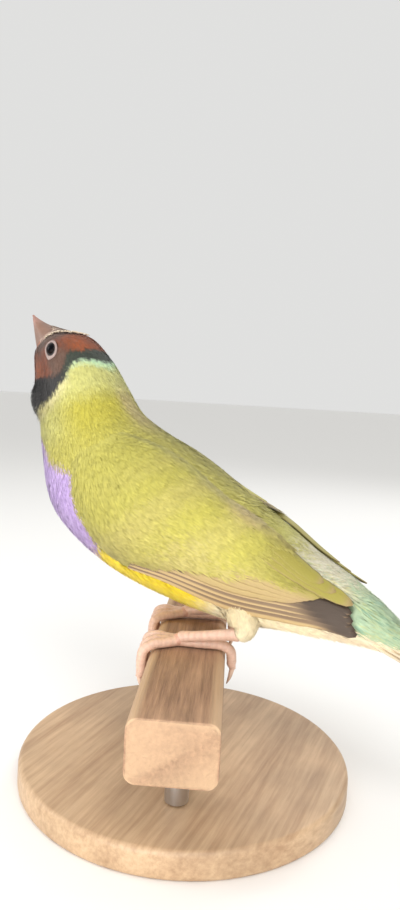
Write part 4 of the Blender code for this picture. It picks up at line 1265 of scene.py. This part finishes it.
def brow_coat():
    """Short feathers over the bill's root, furthest along its ridge, some there still in pale sheaths."""
    draw = np.random.default_rng(61)

    def surface(along, turn, height):
        return brow_point(*matched(along, turn, height))

    def density(along, turn):
        edge = 1.0 + 3.4 * np.exp(-((turn - math.pi / 2) / 0.5) ** 2)
        return BROW_DENSITY * rise(edge, edge - 0.5, along)

    along, turn = scatter(draw, surface, ((0.05, 4.8), (0.0, TURN)), density, 3000)
    count = len(along)
    look = dict(length=draw.uniform(0.9, 1.4, count), lift=np.full(count, 0.12), stray=0.10, spread=0.18,
                width=0.10, root=0.12, sense=-1.0, flow=draw.normal(0, 0.10, count),
                level=draw.uniform(0.14, 0.26, count))
    crest = rise(0.9, 0.4, np.abs(turn - math.pi / 2))
    colour = mix(mix(MASK_RED, MASK_ORANGE, 0.5), BROW_TAN, rise(math.pi + 0.9, math.pi + 0.1, turn))
    colour = mix(colour, SHEATH_PALE, 0.8 * crest * (draw.uniform(0, 1, count) > 0.55))
    spots = np.stack([turn / TURN, along / 5.0], -1)
    coat("plumage_brow", surface, (along, turn), spots, look, colour, draw)


def pin_feathers():
    """New feathers on the forehead, still in their waxy sheaths: thin tapered rods that lie back over it."""
    draw = np.random.default_rng(71)
    shape = bmesh.new()
    for place, angle, reach in PINS:
        for step in range(PINS_EACH):
            start = place - reach * step / PINS_EACH + draw.uniform(-0.04, 0.04)
            turn = math.radians(angle + draw.uniform(-5, 5))
            lean = math.radians(draw.uniform(-14, 14))
            run = start - np.array((0.0, 0.16, 0.34, 0.5))
            lift = np.array((0.05, 0.30, 0.40, 0.42)) + draw.uniform(0.0, 0.15)
            path = body_point(run, turn + lean * np.linspace(0, 1, 4), lift)
            radii = np.array((0.13, 0.16, 0.12, 0.04)) * draw.uniform(0.8, 1.1)
            shade = draw.uniform(0.8, 1.15)

            def rod(along, across, path=path, radii=radii):
                return sweep_point(path, radii, along, TURN * across, 0.0)

            def waxy(along, across, shade=shade):
                return mix(SHEATH_PALE, MASK_BROWN, 0.6 * rise(0.75, 1.0, along)) * shade

            add_grid(shape, rod, waxy, 12, 10, wrap=True, caps=True)
    finish_mesh("pin_feathers", shape, SHEATH_WAX)


def bill_half(name, node_name, upper):
    """Half of the bill, round outside and flat along the mouth, with its root buried in the face."""
    reach = BILL_LENGTH * (1.0 if upper else JAW_LENGTH)
    rounded = 0.8

    def place(along, across):
        turn = np.pi * np.clip(across / rounded, 0, 1)
        closing = np.clip((across - rounded) / (1 - rounded), 0, 1)[..., None]
        far = (reach + BILL_BURIED) * along - BILL_BURIED
        ahead = np.maximum(far, 0.0)
        found = bill_point(ahead, turn, upper) * (1 - closing) + bill_point(ahead, 0.0, upper) * closing
        return found + head_directions()[0] * np.minimum(far, 0.0)[..., None]

    def tint(along, across):
        colour = mix(BILL_BASE, BILL_SIDE, rise(0.05, 0.4, along))
        colour = mix(colour, BILL_RED, rise(0.55, 0.92, along))
        if upper:
            turn = across / rounded * np.pi
            apart = np.minimum(np.abs(turn - NOSTRIL_ANGLE), np.abs(turn - math.pi + NOSTRIL_ANGLE))
            pit = np.exp(-((along - 0.15) / 0.035) ** 2 - (apart / NOSTRIL_SPREAD) ** 2)
            # Painted shade darkens the nostrils' pits
            colour = mix(colour, NOSTRIL_PAINTED_SHADE, 0.8 * pit)
        return colour

    shape = bmesh.new()
    add_grid(shape, place, tint, 60, 80, wrap=True, caps=True)
    made = finish_mesh(name, shape, BILL_HORN, sharp=50)
    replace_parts(made, node_name)


def eye_middle(side, ahead=0.0, above=0.0):
    """A point of the face by the eye's own station and angle, or a small step away from them."""
    return body_point(EYE_STATION + ahead, eye_angle(side) + above, 0.0)


def eye_frame(side):
    """The centre of the eyeball, its outward direction and two directions across it."""
    middle = eye_middle(side)
    outward = unit(np.cross(eye_middle(side, ahead=0.1) - middle, eye_middle(side, above=0.1) - middle))
    if outward[0] * side < 0:
        outward = -outward
    first = unit(np.cross(outward, np.array([0, 0, 1.0])))
    return middle - outward * EYE_SINK, outward, first, np.cross(outward, first)


def eye_spot(side, turn, radius, height):
    """A point of the face in a ring round the eye, found by steps over the curved face to a wanted spot."""
    forward, _, upward = head_directions()
    flat = np.stack([forward, upward])
    ring = np.stack([np.cos(turn) * radius, np.sin(turn) * radius], -1)
    wanted = ring @ np.transpose(LID_STRETCH) - np.array((LID_BACK, LID_DOWN))
    middle = eye_middle(side)
    slopes = np.stack([(eye_middle(side, ahead=0.1) - middle) @ flat.T,
                       (eye_middle(side, above=0.1) - middle) @ flat.T], -1) / 0.1
    back = np.linalg.inv(slopes)
    step = wanted @ back.T
    for _ in range(3):
        found = eye_middle(side, step[..., 0], step[..., 1])
        step = step + (wanted - (found - middle) @ flat.T) @ back.T
    return body_point(EYE_STATION + step[..., 0], eye_angle(side) + step[..., 1], height)


def eye(side, word):
    """A wet dark eyeball, and the bare ring round it with its beads and its dark inner skin."""
    centre, outward, first, second = eye_frame(side)

    def globe(along, across):
        tilt = (np.pi * along)[..., None]
        flat = round_of(first, second, TURN * across) * np.sin(tilt)
        return centre + (flat + outward * np.cos(tilt)) * EYE_RADIUS

    def globe_tint(along, across):
        return mix(PUPIL_BLACK, IRIS_DARK, rise(0.14, 0.20, along))

    shape = bmesh.new()
    add_grid(shape, globe, globe_tint, 40, 48, wrap=True)
    made = finish_mesh("eyeball_" + word, shape, EYE_GLASS)
    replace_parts(made, "eye_" + word)

    def lid(along, across):
        turn, bend = TURN * along, TURN * across
        beads = 1 + 0.12 * np.sin(turn * LID_BEADS) * (0.5 + 0.5 * np.sin(bend))
        corner = 0.28 * np.exp(-(((turn - 3.6) / 0.35) ** 2))
        radius = LID_RADIUS + (LID_HALF_WIDTH + corner) * np.cos(bend)
        return eye_spot(side, turn, radius + corner, 0.05 + LID_HALF_HEIGHT * np.sin(bend) * beads)

    def inner_lid(along, across):
        radius = LID_INNER_RADIUS + (LID_RADIUS - LID_INNER_RADIUS) * across
        height = -0.12 + 0.14 * across + 0.25 * np.sin(np.pi * across)
        return eye_spot(side, TURN * along, radius, height)

    def lid_tint(along, across):
        return mix(LID_PALE, LID_DARK, rise(0.20, 0.08, np.abs(across - 0.5)))

    ring = bmesh.new()
    add_grid(ring, lid, lid_tint, 120, 16, wrap=True)
    add_grid(ring, inner_lid, lambda a, b: np.array(LID_DARK) * 0.15, 64, 8, wrap=True, thickness=0.1)
    finish_mesh("eyelid_" + word, ring, LID_SKIN)


# Perch and stand
def round_off(shape, edges, offset, segments):
    bmesh.ops.bevel(shape, geom=edges, offset=offset, segments=segments, profile=0.5, affect="EDGES",
                    material=-1)


def long_edges(shape):
    """The edges that run the whole length of the perch."""
    return [edge for edge in shape.edges
            if abs(edge.verts[0].co.x - edge.verts[1].co.x) > PERCH_LENGTH / 2]


def end_edges(shape):
    """The edges round the two cut ends of the perch."""
    return [edge for edge in shape.edges
            if all(abs(abs(vert.co.x) - PERCH_LENGTH / 2) < 1e-4 for vert in edge.verts)]


def perch():
    """A length of batten with rubbed edges and slightly uneven faces."""
    shape = bmesh.new()
    bmesh.ops.create_cube(shape, size=1.0)
    bmesh.ops.scale(shape, vec=(PERCH_LENGTH, PERCH_WIDTH, PERCH_THICKNESS), verts=shape.verts)
    round_off(shape, long_edges(shape), PERCH_ROUNDING, 6)
    round_off(shape, end_edges(shape), PERCH_END_ROUNDING, 2)
    bmesh.ops.subdivide_edges(shape, edges=long_edges(shape), cuts=70, use_grid_fill=True)
    worn = shape.verts.layers.float.new("worn")
    for vert in shape.verts:
        x, y, z = vert.co
        from_side = PERCH_WIDTH / 2 - abs(y)
        from_face = PERCH_THICKNESS / 2 - abs(z)
        rub = noise.noise(Vector((x * 0.12, y * 0.4, z * 0.4)))
        near_edge = max(0.0, 1 - from_side / PERCH_WEAR_WIDTH) * max(0.0, 1 - from_face / PERCH_WEAR_WIDTH)
        vert[worn] = min(1.0, max(0.0, near_edge * 2.2 + 0.25 * rub))
        sink = 0.12 * abs(noise.noise(Vector((x * 0.05, y * 1.3, z * 1.3))))
        if min(from_side, from_face + 0.6) < 2:
            sink += 0.08 * rub
        vert.co -= vert.normal * max(0.0, sink) * 0.6
    bmesh.ops.translate(shape, verts=shape.verts, vec=(0, 0, PERCH_TOP - PERCH_THICKNESS / 2))
    bmesh.ops.rotate(shape, verts=shape.verts, cent=(0, 0, 0), matrix=Matrix.Rotation(PERCH_TURN, 3, "Z"))
    bmesh.ops.scale(shape, vec=(MM, MM, MM), verts=shape.verts)
    made = finish_mesh("perch_length", shape, PERCH_WOOD, sharp=40)
    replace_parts(made, "perch")


def turned(name, node_name, radius, low, high, rounding, place, finish):
    """A round piece off the lathe, upright between two heights."""
    shape = bmesh.new()
    bmesh.ops.create_cone(shape, cap_ends=True, segments=96 if radius > 10 else 40,
                          radius1=radius, radius2=radius, depth=high - low)
    rims = [edge for edge in shape.edges if abs(edge.verts[0].co.z - edge.verts[1].co.z) < 1e-6]
    round_off(shape, rims, rounding, 5)
    bmesh.ops.translate(shape, verts=shape.verts, vec=(place[0], place[1], (low + high) / 2))
    bmesh.ops.scale(shape, vec=(MM, MM, MM), verts=shape.verts)
    made = finish_mesh(name, shape, finish, sharp=40)
    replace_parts(made, node_name)


def stand():
    """The round base and the two rods that hold the perch."""
    turned("display_base", "stand_base", BASE_RADIUS, 0.0, BASE_HEIGHT, BASE_ROUNDING, (0, 0), STAND_OAK)
    for side, word in SIDES:
        place = on_perch(ROD_SPACING / 2 * side, 0.0, 0.0)
        turned("display_rod_" + word, "stand_rod_" + word, ROD_RADIUS, BASE_HEIGHT + GAP,
               PERCH_TOP - PERCH_THICKNESS - GAP, ROD_ROUNDING, place, ROD_STEEL)


# Studio
def studio():
    """A pale floor and sky, with round lamps that all point at the bird."""
    shape = bmesh.new()
    bmesh.ops.create_grid(shape, x_segments=1, y_segments=1, size=FLOOR_SIZE)
    mesh = bpy.data.meshes.new("floor")
    shape.to_mesh(mesh)
    shape.free()
    mesh.materials.append(new_material("floor_paper", 0.9, Base_Color=FLOOR_COLOUR)[0])
    floor = show("floor", mesh)
    world = bpy.data.worlds.new("studio")
    world.use_nodes = True
    sky = world.node_tree.nodes["Background"].inputs
    sky["Color"].default_value = SKY_COLOUR
    sky["Strength"].default_value = SKY_STRENGTH
    bpy.context.scene.world = world
    bpy.context.scene.view_settings.view_transform = "Standard"
    for name, place, size, power in LAMPS:
        light = bpy.data.lights.new(name, "AREA")
        light.shape = "DISK"
        light.size = size
        light.energy = power
        lamp = show(name, light)
        lamp.location = place
        lamp.visible_camera = False
        lamp.rotation_mode = "QUATERNION"
        lamp.rotation_quaternion = (Vector(LAMP_TARGET) - Vector(place)).to_track_quat("-Z", "Y")


def camera():
    """The photo's viewpoint, close behind the bird's left side, with its slight roll."""
    lens = bpy.data.cameras.new("camera")
    lens.sensor_width = SENSOR_WIDTH
    lens.lens = CAMERA_LENS
    lens.clip_start = NEAREST_SEEN
    made = show("camera", lens)
    made.matrix_world = Matrix.Translation(CAMERA_PLACE) @ Matrix(CAMERA_TURN).to_4x4()
    bpy.context.scene.camera = made


camera()
studio()
skin = make_skin()
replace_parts(skin, "torso", "neck", "head", "thigh_left", "thigh_right")
body_coat()
for side, word in SIDES:
    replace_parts(wing_feathers(side, word), "wing_" + word)
    wing_coat(side, word)
    thigh_coat(side, word)
    eye(side, word)
    legs(side, word)
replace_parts(tail_feathers(), "tail")
brow_coat()
pin_feathers()
bill_half("bill_top", "bill_upper", True)
bill_half("bill_jaw", "bill_lower", False)
perch()
stand()
